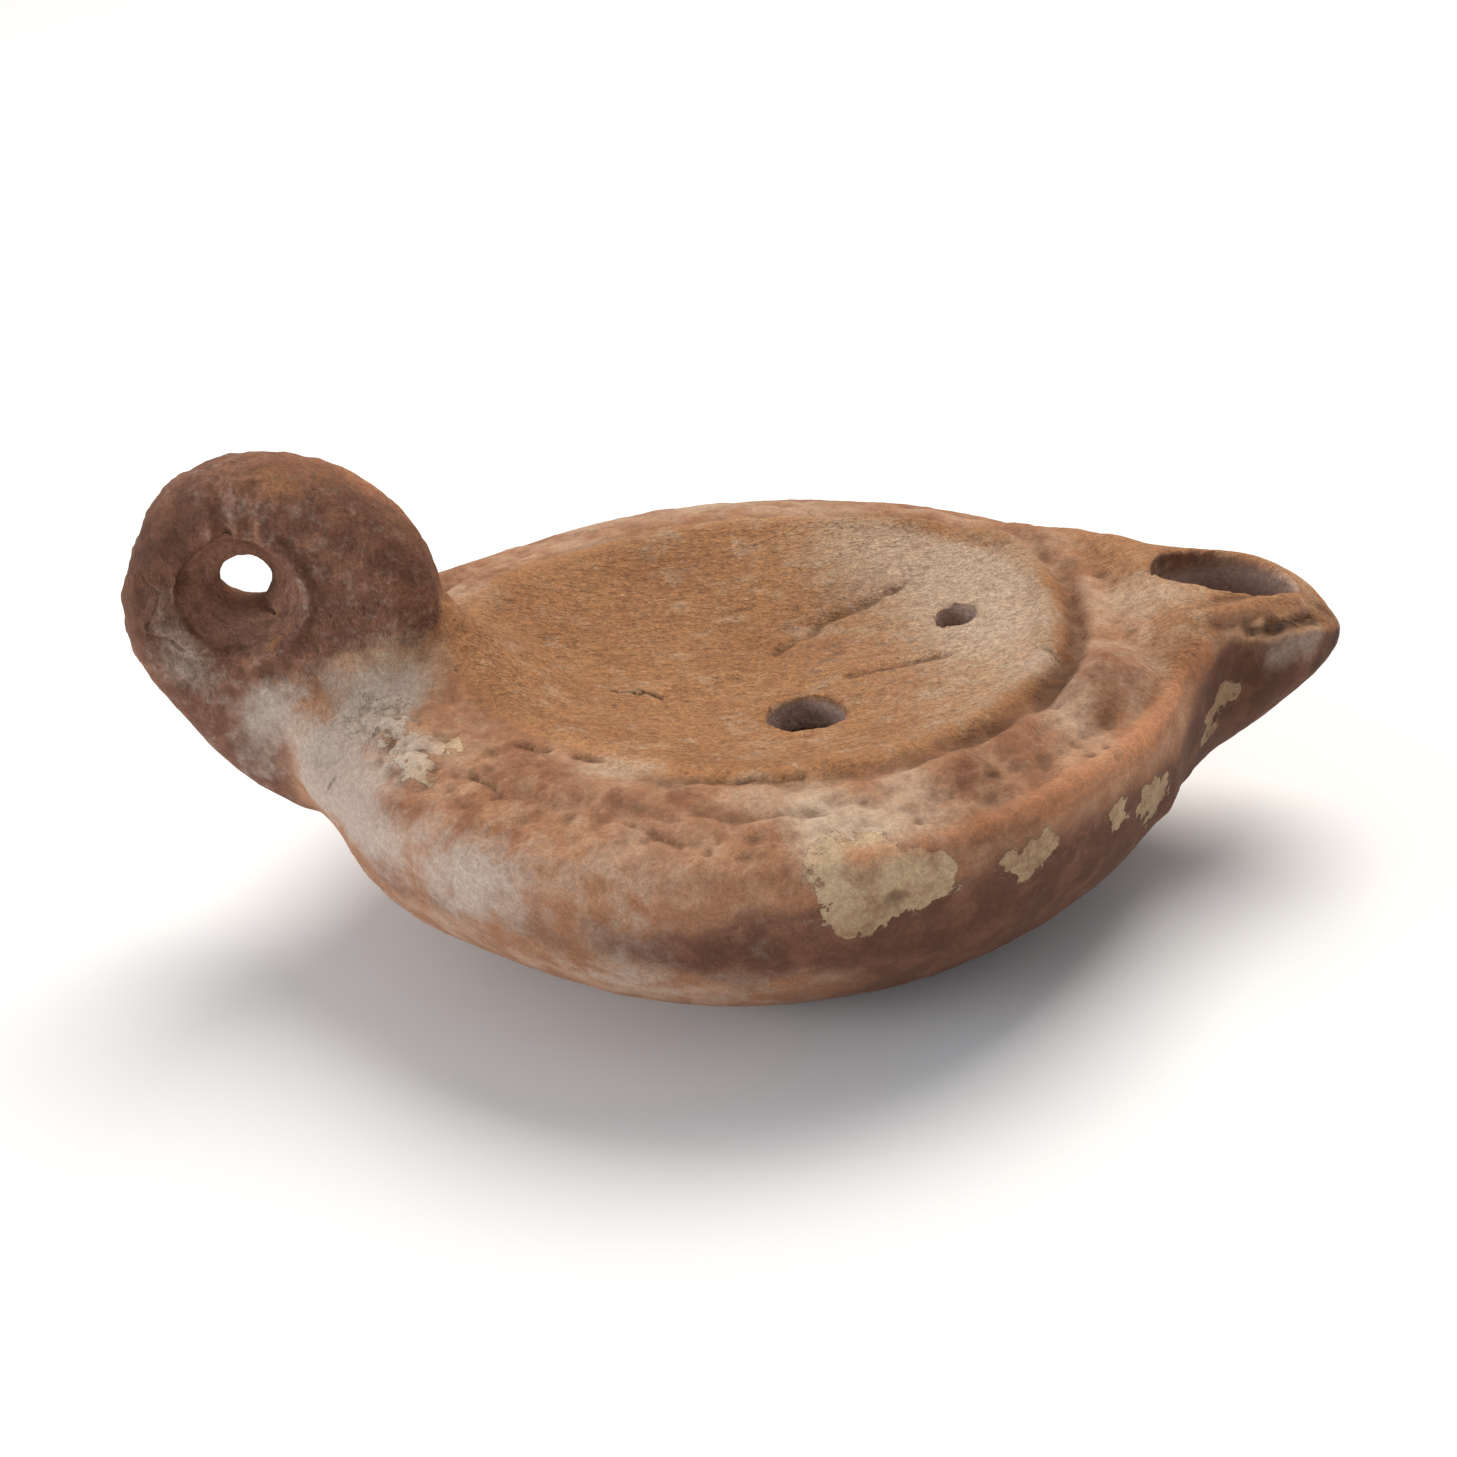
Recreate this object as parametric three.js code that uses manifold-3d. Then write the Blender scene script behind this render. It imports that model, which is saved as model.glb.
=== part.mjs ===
// A mould-made terracotta oil lamp: a low round body with a concave top, a short rounded nozzle with a wick
// hole, and an upright pierced handle. Top and bottom were luted together in the clay, so it is one hollow
// piece. Millimetres, +Z up, origin at the centre of the flat base, +X from the handle to the nozzle.
import * as THREE from "three";
import { mergeVertices } from "three/addons/utils/BufferGeometryUtils.js";
import Module from "manifold-3d";

const wasm = await Module();
wasm.setup();

// Body
const BODY_RADIUS = 37;
const RIM_HEIGHT = 20.9; // of the edge where the shoulder meets the lower wall
const BASE_RADIUS = 15.5;
const WALL_FULLNESS = 2.6; // 2 gives an elliptical lower wall, more gives a squarer one
const BASE_GROOVE_RADIUS = 12.6;
const BASE_GROOVE_WIDTH = 1.2;
const BASE_GROOVE_DEPTH = 0.5;

// Shoulder and discus, the sunk disc in the top
const SHOULDER_RISE = 2.3;
const RIM_RIDGE_WIDTH = 2.2;
const RIM_RIDGE_HEIGHT = 0.25;
const DISCUS_RADIUS = 26.3; // to the groove around it
const RING_GROOVE_WIDTH = 1.5;
const RING_GROOVE_DEPTH = 0.65;
const RING_RIDGE_WIDTH = 1.6;
const RING_RIDGE_HEIGHT = 0.45;
const DISCUS_DEPTH = 3.4;

// Worn leaf wreath on the shoulder, and the boss on each side of the nozzle
const LEAF_PAIRS = 13;
const LEAF_LENGTH = 8;
const LEAF_WIDTH = 4.2;
const LEAF_HEIGHT = 0.8;
const LEAF_SPLAY = THREE.MathUtils.degToRad(26);
const LEAF_BED = 0.45; // how far the ground between the leaves lies below the plain shoulder
const BOSS_ANGLE = THREE.MathUtils.degToRad(31.5);
const BOSS_LENGTH = 14;
const BOSS_WIDTH = 8.4;
const BOSS_HEIGHT = 1.7;

// Thicknesses of the clay
const WALL = 3.4;
const FLOOR = 4;
const DISCUS_WALL = 3.2;

// Holes in the discus
const FILLING_HOLE = { x: 3, y: -11.5, radius: 3.3 };
const AIR_HOLE = { x: 18.4, y: 2.8, radius: 1.6 };

// Nozzle
const NOZZLE_ROOT = 31; // x where it has sunk into the shoulder
const NOZZLE_WAIST = 41; // x where it stops flaring and its nose begins to round off
const NOZZLE_TIP = 51.7; // x of the foremost point
const NOZZLE_HALF_WIDTH = 9; // at the waist
const NOZZLE_FLARE = 0.12; // widening from the waist towards the body, per mm
const NOZZLE_LEAN = 0.04; // how far its root lies to the -Y side, per mm behind the tip
const NOZZLE_TOP = 24.7; // height of its top just behind the wick hole
const NOZZLE_TOP_FALL = 0.0165; // arch of its top towards the tip, per mm
const NOZZLE_TOP_RISE = 0.075; // hollow of its top towards the shoulder, per mm
const NOZZLE_TIP_HEIGHT = 17.4;
const NOZZLE_KEEL = { x: 43.4, z: 10.4, slope: 0.68, bend: 0.033 }; // a point on its underside, and the line there
const NOZZLE_SHELF = 0.72; // how high up its widest line lies
const NOZZLE_WALL = 3;
const WICK_HOLE = { x: 41.6, y: 1.2, length: 12.8, width: 9.6 };

// Handle
const HANDLE_X = -38.6;
const HANDLE_HEIGHT = 31; // of its centre
const HANDLE_RADIUS = 12.85; // along the lamp
const HANDLE_RISE = 12.4; // from its centre to its top
const HANDLE_CORNER = 0.5; // extra fullness of its upper back
const HANDLE_THICKNESS = 10;
const HANDLE_ROUNDING = 3.8;
const HANDLE_TWIST = THREE.MathUtils.degToRad(-4);
const HANDLE_HOLE = { x: -40.9, z: 33.6, mouth: 4.85, throat: 2.15 };
const TAIL_DROP = 18.3; // from its centre down to its root on the lower wall

// Clay smeared round the handle's foot
const FOOT_TOP = 28.5;
const FOOT_SPREAD = 9.5; // how far it reaches out beyond each face of the handle
const FOOT_FRONT = -26;
const FOOT_SWELL = 2.6; // how far it stands out from the wall
const FOOT_BOTTOM = 6;

const AROUND = 84; // facets around the body
const OVERRUN = 2; // how far a cutter reaches past the surface it opens

const smooth = (t) => {
  const s = THREE.MathUtils.clamp(t, 0, 1);
  return s * s * (3 - 2 * s);
};

// A rounded rib of the given width and height, centred on at.
const rib = (r, at, width, height) => {
  const t = Math.abs(r - at) / (width / 2);
  return t < 1 ? height * (1 - t * t) * (1 - t * t) : 0;
};

// A closed three.js geometry as a solid.
function solidOf(geometry) {
  const bare = geometry.clone();
  bare.deleteAttribute("normal");
  bare.deleteAttribute("uv");
  const merged = mergeVertices(bare, 1e-4);
  const solid = new wasm.Manifold(
    new wasm.Mesh({
      numProp: 3,
      vertProperties: new Float32Array(merged.attributes.position.array),
      triVerts: new Uint32Array(merged.index.array),
    }),
  );
  if (solid.volume() < 0) throw new Error("a profile runs the wrong way round");
  return solid;
}

function geometryOf(solid) {
  const mesh = solid.getMesh();
  const geometry = new THREE.BufferGeometry();
  geometry.setAttribute("position", new THREE.BufferAttribute(mesh.vertProperties, 3));
  geometry.setIndex(new THREE.BufferAttribute(mesh.triVerts, 1));
  geometry.computeVertexNormals();
  return geometry;
}

// A profile of [radius, height] points, turned round the Z axis.
function turned(profile, segments) {
  const points = profile.map(([r, z]) => new THREE.Vector2(r, z));
  return new THREE.LatheGeometry(points, segments).rotateX(Math.PI / 2);
}

// A closed skin through rings of points that have equal numbers of points, with a fan over each end.
function loft(rings) {
  const count = rings[0].length;
  const middleOf = (ring) => ring.reduce((sum, p) => sum.add(p), new THREE.Vector3()).divideScalar(count);
  const first = rings.length * count;
  const points = [...rings.flat(), middleOf(rings[0]), middleOf(rings[rings.length - 1])];
  const index = [];
  for (let k = 0; k + 1 < rings.length; k++)
    for (let i = 0; i < count; i++) {
      const a = k * count + i;
      const b = k * count + ((i + 1) % count);
      index.push(a, b, a + count, b, b + count, a + count);
    }
  for (let i = 0; i < count; i++) {
    const next = (i + 1) % count;
    index.push(first, next, i, first + 1, first - count + i, first - count + next);
  }
  const geometry = new THREE.BufferGeometry().setFromPoints(points);
  geometry.setIndex(index);
  return geometry;
}

// Height of the lower wall at a radius, for a wall that ends at (baseRadius, foot) and (outer, rim).
function wallRadius(z, outer, rim, baseRadius, foot) {
  const n = WALL_FULLNESS;
  const depth = (rim - foot) / (1 - (baseRadius / outer) ** n) ** (1 / n);
  const share = Math.min(1, (rim - z) / depth);
  return outer * (1 - share ** n) ** (1 / n);
}

// Height of the plain top at a radius: shoulder, ring around the discus, and the discus itself.
function topHeight(r) {
  const ringHeight = RIM_HEIGHT + SHOULDER_RISE;
  const discusEdge = DISCUS_RADIUS - RING_GROOVE_WIDTH / 2 - RING_RIDGE_WIDTH / 2;
  const across = (BODY_RADIUS - r) / (BODY_RADIUS - DISCUS_RADIUS);
  const shoulder = RIM_HEIGHT + SHOULDER_RISE * Math.sin((Math.min(across, 1) * Math.PI) / 2);
  const dish = DISCUS_DEPTH * (1 - (Math.min(r, discusEdge) / discusEdge) ** 2.4);
  const base = r > DISCUS_RADIUS ? shoulder : ringHeight - dish;
  return (
    base +
    rib(r, discusEdge, RING_RIDGE_WIDTH, RING_RIDGE_HEIGHT) -
    rib(r, DISCUS_RADIUS, RING_GROOVE_WIDTH, RING_GROOVE_DEPTH) +
    rib(r, BODY_RADIUS - RIM_RIDGE_WIDTH / 2, RIM_RIDGE_WIDTH, RIM_RIDGE_HEIGHT)
  );
}

// A low oval swelling, centred on (cx, cy) with its length turned by angle.
function swelling(x, y, cx, cy, angle, length, width, height) {
  const dx = x - cx;
  const dy = y - cy;
  const u = (dx * Math.cos(angle) + dy * Math.sin(angle)) / (length / 2);
  const v = (dy * Math.cos(angle) - dx * Math.sin(angle)) / (width / 2);
  return height * smooth(1 - u * u - v * v);
}

// Raised work on the shoulder at a point in plan: the leaves in their sunk bed, and the two bosses.
function reliefHeight(x, y) {
  const r = Math.hypot(x, y);
  const bandInner = DISCUS_RADIUS + RING_GROOVE_WIDTH / 2;
  const bandOuter = BODY_RADIUS - RIM_RIDGE_WIDTH;
  if (r < bandInner || r > bandOuter) return 0;
  const middle = (bandInner + bandOuter) / 2;
  const first = BOSS_ANGLE + BOSS_LENGTH / 2 / middle;
  const pitch = (Math.PI - FOOT_SPREAD / middle - first) / LEAF_PAIRS;
  const bed = LEAF_BED * smooth((1 - Math.abs(r - middle) / (bandOuter - middle)) * 3);
  const slot = Math.floor((Math.abs(Math.atan2(y, x)) - first) / pitch);
  const side = Math.sign(y) || 1;
  const place = (angle, radius) => [radius * Math.cos(angle), radius * Math.sin(angle)];
  const boss = place(side * BOSS_ANGLE, middle);
  let height = swelling(x, y, ...boss, side * BOSS_ANGLE + Math.PI / 2, BOSS_LENGTH, BOSS_WIDTH, BOSS_HEIGHT);
  for (let k = Math.max(0, slot - 1); k <= Math.min(LEAF_PAIRS - 1, slot + 1); k++)
    for (const row of [-1, 1]) {
      const angle = side * (first + (k + 0.5 + row * 0.2) * pitch);
      const leaf = place(angle, middle + (row * (bandOuter - bandInner)) / 4);
      const turn = angle + side * (Math.PI / 2 - row * LEAF_SPLAY);
      height = Math.max(height, swelling(x, y, ...leaf, turn, LEAF_LENGTH, LEAF_WIDTH, LEAF_HEIGHT));
    }
  return height - bed;
}

// The body's outside, as a turned solid whose top is carved point by point.
function bodyOutside() {
  const profile = [
    [0, 0],
    [BASE_GROOVE_RADIUS - BASE_GROOVE_WIDTH / 2, 0],
    [BASE_GROOVE_RADIUS, BASE_GROOVE_DEPTH],
    [BASE_GROOVE_RADIUS + BASE_GROOVE_WIDTH / 2, 0],
    [BASE_RADIUS, 0],
  ];
  const wallRows = 8;
  for (let i = 1; i <= wallRows; i++) {
    const z = RIM_HEIGHT * (1 - Math.cos((i / wallRows) * Math.PI * 0.5) ** 1.15);
    profile.push([wallRadius(z, BODY_RADIUS, RIM_HEIGHT, BASE_RADIUS, 0), z]);
  }
  const ridgeMiddle = BODY_RADIUS - RIM_RIDGE_WIDTH / 2;
  const bandOuter = BODY_RADIUS - RIM_RIDGE_WIDTH;
  const bandInner = DISCUS_RADIUS + RING_GROOVE_WIDTH / 2;
  const bandRows = 7;
  const radii = [BODY_RADIUS - RIM_RIDGE_WIDTH * 0.2, ridgeMiddle];
  for (let i = 0; i <= bandRows; i++) radii.push(bandOuter + ((bandInner - bandOuter) * i) / bandRows);
  const ridge = DISCUS_RADIUS - RING_GROOVE_WIDTH / 2 - RING_RIDGE_WIDTH / 2;
  radii.push(DISCUS_RADIUS, ridge + RING_RIDGE_WIDTH * 0.45, ridge, ridge - RING_RIDGE_WIDTH / 2);
  const dishRows = 5;
  for (let i = 1; i < dishRows; i++) radii.push((ridge - RING_RIDGE_WIDTH / 2) * (1 - i / dishRows));
  for (const r of radii) profile.push([r, topHeight(r)]);
  profile.push([0, topHeight(0)]);
  const geometry = turned(profile, AROUND);
  const position = geometry.attributes.position;
  for (let i = 0; i < position.count; i++) {
    const z = position.getZ(i);
    if (z < RIM_HEIGHT) continue;
    position.setZ(i, z + reliefHeight(position.getX(i), position.getY(i)));
  }
  return solidOf(geometry);
}

// The oil chamber: the body's outside moved in by the thicknesses of the clay.
function chamber() {
  const rim = RIM_HEIGHT - WALL / 2;
  const radius = BODY_RADIUS - WALL;
  const floorRadius = BASE_RADIUS - WALL / 2;
  const profile = [
    [0, FLOOR],
    [floorRadius, FLOOR],
  ];
  const rows = 5;
  for (let i = 1; i <= rows; i++) {
    const z = FLOOR + (rim - FLOOR) * (1 - Math.cos((i / rows) * Math.PI * 0.5));
    profile.push([wallRadius(z, radius, rim, floorRadius, FLOOR), z]);
  }
  const edge = DISCUS_RADIUS - RING_GROOVE_WIDTH;
  profile.push([(radius + edge) / 2, RIM_HEIGHT + SHOULDER_RISE / 2 - WALL]);
  for (const share of [1, 0.75, 0.45]) profile.push([edge * share, topHeight(edge * share) - DISCUS_WALL]);
  profile.push([0, topHeight(0) - DISCUS_WALL]);
  return solidOf(turned(profile, AROUND / 2));
}

// The nozzle's outside at x: half width, height of its top and of its underside, and y of its middle.
function nozzleSection(x) {
  const nose = THREE.MathUtils.clamp((x - NOZZLE_WAIST) / (NOZZLE_TIP - NOZZLE_WAIST), 0, 1);
  const behind = Math.max(0, NOZZLE_WAIST - x);
  const rim = BODY_RADIUS - RIM_RIDGE_WIDTH;
  const fallen = NOZZLE_TOP_FALL * Math.max(0, x - rim) ** 2;
  const sunk = NOZZLE_TOP_RISE * Math.max(0, BODY_RADIUS - x) ** 2;
  const top = NOZZLE_TOP - fallen - sunk;
  const middle = -NOZZLE_LEAN * (NOZZLE_TIP - x);
  const withinBody = x < rim ? Math.sqrt(BODY_RADIUS ** 2 - x * x) + middle : Infinity;
  const flared = NOZZLE_HALF_WIDTH * Math.sqrt(1 - nose * nose) + NOZZLE_FLARE * behind * behind;
  const fromKeel = NOZZLE_KEEL.x - x;
  const keel = NOZZLE_KEEL.z - NOZZLE_KEEL.slope * fromKeel + NOZZLE_KEEL.bend * Math.max(0, fromKeel) ** 2;
  return {
    halfWidth: Math.min(flared, withinBody),
    top: NOZZLE_TIP_HEIGHT + (top - NOZZLE_TIP_HEIGHT) * (1 - nose ** 5) ** 0.36,
    bottom: NOZZLE_TIP_HEIGHT - (NOZZLE_TIP_HEIGHT - keel) * (1 - nose ** 6) ** 0.4,
    middle,
  };
}

// The nozzle between two x values, moved in by inset: nearly flat on top and round underneath.
function nozzleLoft(fromX, toX, inset, rows, points) {
  const rings = [];
  for (let k = 0; k <= rows; k++) {
    const along = Math.sin((k / rows) * Math.PI * 0.5);
    const x = THREE.MathUtils.lerp(fromX, toX, along);
    const { halfWidth, top, bottom, middle } = nozzleSection(x + inset * along);
    const shelf = THREE.MathUtils.lerp(bottom, top, NOZZLE_SHELF);
    const reach = Math.max(halfWidth - inset, 0.25);
    const ring = [];
    for (let i = 0; i < points; i++) {
      const angle = (i / points) * 2 * Math.PI;
      const across = Math.cos(angle);
      const up = Math.sin(angle);
      const power = up > 0 ? 0.62 : THREE.MathUtils.lerp(0.74, 0.96, along);
      const rise = Math.max(up > 0 ? top - shelf - inset : shelf - bottom - inset, 0.15);
      const y = middle + Math.sign(across) * reach * Math.abs(across) ** power;
      ring.push(new THREE.Vector3(x, y, shelf + Math.sign(up) * rise * Math.abs(up) ** power));
    }
    rings.push(ring);
  }
  return solidOf(loft(rings));
}

// Distance from the handle's centre to its edge, in a direction measured from +X up over the top.
function handleEdge(angle) {
  const squash = angle < Math.PI ? HANDLE_RADIUS - (HANDLE_RADIUS - HANDLE_RISE) * Math.sin(angle) ** 2 : HANDLE_RADIUS;
  const degrees = THREE.MathUtils.radToDeg(angle);
  const behind = THREE.MathUtils.clamp((degrees - 195) / 75, 0, 1.15) ** 2.4;
  const inFront = smooth((345 - degrees) / 60);
  const corner = HANDLE_CORNER * smooth(1 - Math.abs(degrees - 122) / 40);
  return squash + corner + (TAIL_DROP - HANDLE_RADIUS) * Math.min(behind, inFront);
}

// The handle: a thick upright disc with rounded edges, whose back runs down as a tail to the lower wall.
function handleOutside() {
  const half = HANDLE_THICKNESS / 2;
  const steps = 4;
  const layers = [];
  for (let k = 0; k <= steps; k++) {
    const t = (k / steps) * Math.PI * 0.5;
    layers.push([half - HANDLE_ROUNDING * (1 - Math.sin(t)), HANDLE_ROUNDING * (1 - Math.cos(t))]);
  }
  const through = [...[...layers].reverse(), ...layers.map(([y, inset]) => [-y, inset])];
  const points = 64;
  const rings = through.map(([y, inset]) =>
    Array.from({ length: points }, (_, i) => {
      const angle = (i / points) * 2 * Math.PI;
      const reach = handleEdge(angle) - inset;
      return new THREE.Vector3(reach * Math.cos(angle), y, reach * Math.sin(angle));
    }),
  );
  const geometry = loft(rings);
  geometry.rotateZ(HANDLE_TWIST);
  geometry.translate(HANDLE_X, 0, HANDLE_HEIGHT);
  return solidOf(geometry);
}

// The clay smeared round the handle's foot: it spreads out over the shoulder and down the wall.
function handleFoot() {
  const rows = 8;
  const points = 36;
  const rings = [];
  for (let k = 0; k <= rows; k++) {
    const z = THREE.MathUtils.lerp(FOOT_BOTTOM, FOOT_TOP, k / rows);
    const above = THREE.MathUtils.clamp((z - RIM_HEIGHT) / (FOOT_TOP - RIM_HEIGHT), 0, 1);
    const down = smooth((RIM_HEIGHT - z) / (RIM_HEIGHT - FOOT_BOTTOM));
    const wall = wallRadius(Math.min(z, RIM_HEIGHT), BODY_RADIUS, RIM_HEIGHT, BASE_RADIUS, 0);
    const halfWidth = HANDLE_THICKNESS / 2 - 0.6 + FOOT_SPREAD * (1 - above) ** 2 * (1 - 0.7 * down);
    const front = FOOT_FRONT - 2 * above;
    const back = -wall - FOOT_SWELL * (1 - down) - 8 * above;
    const ring = [];
    for (let i = 0; i < points; i++) {
      const angle = (i / points) * 2 * Math.PI;
      const c = Math.cos(angle);
      const s = Math.sin(angle);
      const x = (front + back) / 2 + ((front - back) / 2) * Math.sign(c) * Math.abs(c) ** 0.8;
      ring.push(new THREE.Vector3(x, halfWidth * Math.sign(s) * Math.abs(s) ** 0.8, z));
    }
    rings.push(ring);
  }
  return solidOf(loft(rings));
}

// The hole through the handle, wide at both mouths and narrow halfway.
function handleHole() {
  const half = HANDLE_THICKNESS / 2;
  const widen = (HANDLE_HOLE.mouth - HANDLE_HOLE.throat) / half;
  const end = HANDLE_HOLE.throat + widen * (half + OVERRUN);
  const profile = [
    [0, -half - OVERRUN],
    [end, -half - OVERRUN],
    [HANDLE_HOLE.throat, -0.4],
    [HANDLE_HOLE.throat, 0.4],
    [end * 0.7, half + OVERRUN],
    [0, half + OVERRUN],
  ];
  const hole = turned(profile, 28);
  hole.rotateX(-Math.PI / 2);
  hole.rotateZ(HANDLE_TWIST);
  const away = HANDLE_HOLE.x - HANDLE_X;
  hole.translate(HANDLE_X + away * Math.cos(HANDLE_TWIST), away * Math.sin(HANDLE_TWIST), HANDLE_HOLE.z);
  return solidOf(hole);
}

// An upright round or oval cutter through the top, down to depth under the top of the lamp.
function cutter({ x, y }, halfLength, halfWidth, bottom) {
  const top = RIM_HEIGHT + SHOULDER_RISE + OVERRUN;
  const round = new THREE.CylinderGeometry(1, 1, top - bottom, 28).rotateX(Math.PI / 2);
  round.scale(halfLength, halfWidth, 1);
  round.translate(x, y, (top + bottom) / 2);
  return solidOf(round);
}

function lamp() {
  const underDiscus = topHeight(0) - DISCUS_WALL - OVERRUN;
  const channelEnd = WICK_HOLE.x + WICK_HOLE.length / 2 - NOZZLE_WALL;
  const wickFloor = NOZZLE_TIP_HEIGHT - 1;
  return bodyOutside()
    .add(nozzleLoft(NOZZLE_ROOT, NOZZLE_TIP, 0, 14, 28))
    .add(handleOutside())
    .add(handleFoot())
    .subtract(chamber())
    .subtract(nozzleLoft(NOZZLE_ROOT - OVERRUN, channelEnd, NOZZLE_WALL, 6, 20))
    .subtract(cutter(FILLING_HOLE, FILLING_HOLE.radius, FILLING_HOLE.radius, underDiscus))
    .subtract(cutter(AIR_HOLE, AIR_HOLE.radius, AIR_HOLE.radius, underDiscus))
    .subtract(cutter(WICK_HOLE, WICK_HOLE.length / 2, WICK_HOLE.width / 2, wickFloor))
    .subtract(handleHole());
}

const clay = new THREE.MeshStandardMaterial({ color: 0xb5805c, roughness: 0.92, metalness: 0 });
const body = new THREE.Mesh(geometryOf(lamp()), clay);
body.name = "lamp";

const group = new THREE.Group();
group.add(body);

export default group;
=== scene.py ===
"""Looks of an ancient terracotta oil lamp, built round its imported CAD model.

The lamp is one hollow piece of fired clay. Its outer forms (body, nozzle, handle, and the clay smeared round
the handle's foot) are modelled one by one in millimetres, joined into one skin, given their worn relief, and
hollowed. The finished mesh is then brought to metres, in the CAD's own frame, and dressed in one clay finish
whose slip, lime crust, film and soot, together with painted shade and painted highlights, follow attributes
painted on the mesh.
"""

import logging
import math
from dataclasses import dataclass, field
from enum import Enum
from typing import Callable, Sequence

import bpy
import numpy as np
from mathutils import Matrix, Vector
from mathutils.kdtree import KDTree


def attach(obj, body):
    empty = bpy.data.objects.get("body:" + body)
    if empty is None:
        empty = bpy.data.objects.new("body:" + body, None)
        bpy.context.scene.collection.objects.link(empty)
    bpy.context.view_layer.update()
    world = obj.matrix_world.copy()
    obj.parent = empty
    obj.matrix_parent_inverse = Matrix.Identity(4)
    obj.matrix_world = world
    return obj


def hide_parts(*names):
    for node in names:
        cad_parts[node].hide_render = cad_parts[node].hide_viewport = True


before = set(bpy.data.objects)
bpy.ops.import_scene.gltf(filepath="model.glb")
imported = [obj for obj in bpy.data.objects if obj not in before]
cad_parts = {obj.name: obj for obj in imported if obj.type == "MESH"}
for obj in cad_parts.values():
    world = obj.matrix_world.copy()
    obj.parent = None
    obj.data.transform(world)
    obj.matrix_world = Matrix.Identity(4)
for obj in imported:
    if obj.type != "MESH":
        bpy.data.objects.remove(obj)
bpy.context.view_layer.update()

LOG = logging.getLogger("oil_lamp")
MM = 0.001
ORIGIN = (0.0, 0.0, 0.0)

Array = np.ndarray
Values = Array | float
Colour = tuple[float, float, float]
Socket = bpy.types.NodeSocket


class Side(Enum):
    """Which side of a limit a soft step rises on."""

    ABOVE = 1
    BELOW = -1


def smooth(value: Array) -> Array:
    """A soft step from 0 to 1 as the value goes from 0 to 1."""
    t = np.clip(value, 0.0, 1.0)
    return t * t * (3.0 - 2.0 * t)


def step(value: Array, limit: float, soft: float, side: Side = Side.ABOVE) -> Array:
    """A soft step centred on a limit.

    Args:
        value: The values to test.
        limit: Where the step is half way up.
        soft: Width of the step.
        side: The side of the limit on which it is 1.

    Returns:
        Values from 0 to 1.
    """
    return smooth(side.value * (value - limit) / soft + 0.5)


def rib(distance: Array, width: float) -> Array:
    """A rounded rib, 1 on its line and 0 from half its width away."""
    t = np.abs(distance) / (width / 2.0)
    return np.where(t < 1.0, (1.0 - t * t) ** 2, 0.0)


def around(angle: Array, centre: float, reach: float) -> Array:
    """A soft bump over a part of the circle, in degrees, 1 at its centre and 0 at its reach."""
    away = np.abs((angle - centre + 180.0) % 360.0 - 180.0)
    return smooth(1.0 - away / reach)


@dataclass(frozen=True)
class Spot:
    """A round mark on the clay, in millimetres: its centre, how far it reaches, and how strong it is."""

    x: float
    y: float
    z: float
    reach: float
    strength: float = 1.0

    def on(self, points: Array) -> Array:
        """The mark's strength at each point, fading softly to its reach."""
        away = np.linalg.norm(points - (self.x, self.y, self.z), axis=1)
        return self.strength * smooth(1.0 - away / self.reach)


@dataclass(frozen=True)
class Stroke:
    """A long mark on the clay, in millimetres: its line in plan or in space, its width and its height."""

    line: tuple[tuple[float, ...], ...]
    width: float
    height: float

    def away(self, points: Array) -> Array:
        """Distance of each point from the line."""
        size = len(self.line[0])
        place = points[:, :size]
        nearest = np.full(len(points), np.inf)
        for first, last in zip(self.line, self.line[1:]):
            start = np.array(first)
            run = np.array(last) - start
            share = np.clip((place - start) @ run / (run @ run), 0.0, 1.0)
            nearest = np.minimum(nearest, np.linalg.norm(place - start - share[:, None] * run, axis=1))
        return nearest

    def on(self, points: Array) -> Array:
        """The mark's height at each point."""
        return self.height * rib(self.away(points), self.width)


def marks(items: Sequence[Spot | Stroke], points: Array) -> Array:
    """The sum of several marks at each point."""
    total = np.zeros(len(points))
    for item in items:
        total += item.on(points)
    return total


class Grain:
    """Seeded noise in space, for the unevenness of hand-made, worn clay."""

    CORNERS = [(a, b, c) for a in (0, 1) for b in (0, 1) for c in (0, 1)]

    def __init__(self, seed: int) -> None:
        """Draws the order of the cells and their slopes."""
        draw = np.random.default_rng(seed)
        self.order = draw.permutation(256)
        slopes = draw.normal(size=(256, 3))
        self.slopes = slopes / np.linalg.norm(slopes, axis=1)[:, None]

    def at(self, points: Array, size: float) -> Array:
        """Noise of one size.

        Args:
            points: Places in millimetres.
            size: Width of one cell, in millimetres.

        Returns:
            Values of about -1 to 1.
        """
        place = points / size
        cell = np.floor(place).astype(int)
        inside = place - cell
        blend = inside**3 * (inside * (inside * 6.0 - 15.0) + 10.0)
        total = np.zeros(len(points))
        for corner in self.CORNERS:
            key = (cell + corner) & 255
            pick = self.order[(self.order[(self.order[key[:, 0]] + key[:, 1]) & 255] + key[:, 2]) & 255]
            slope = (self.slopes[pick] * (inside - corner)).sum(axis=1)
            weight = np.where(np.array(corner) == 1, blend, 1.0 - blend).prod(axis=1)
            total += slope * weight
        return total * 1.7

    def layered(self, points: Array, size: float, layers: int, fade: float = 0.5) -> Array:
        """Noise of several sizes, each half the last and weaker by fade."""
        total = np.zeros(len(points))
        strength = 1.0
        for layer in range(layers):
            total += strength * self.at(points + 37.1 * layer, size / 2**layer)
            strength *= fade
        return total


def start_fresh() -> None:
    """Leaves edit mode and deselects everything."""
    if bpy.context.mode != "OBJECT":
        bpy.ops.object.mode_set(mode="OBJECT")
    bpy.ops.object.select_all(action="DESELECT")


def take_up(piece: bpy.types.Object) -> None:
    """Makes one object the only selected one, and the active one."""
    start_fresh()
    piece.select_set(True)
    bpy.context.view_layer.objects.active = piece


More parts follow.
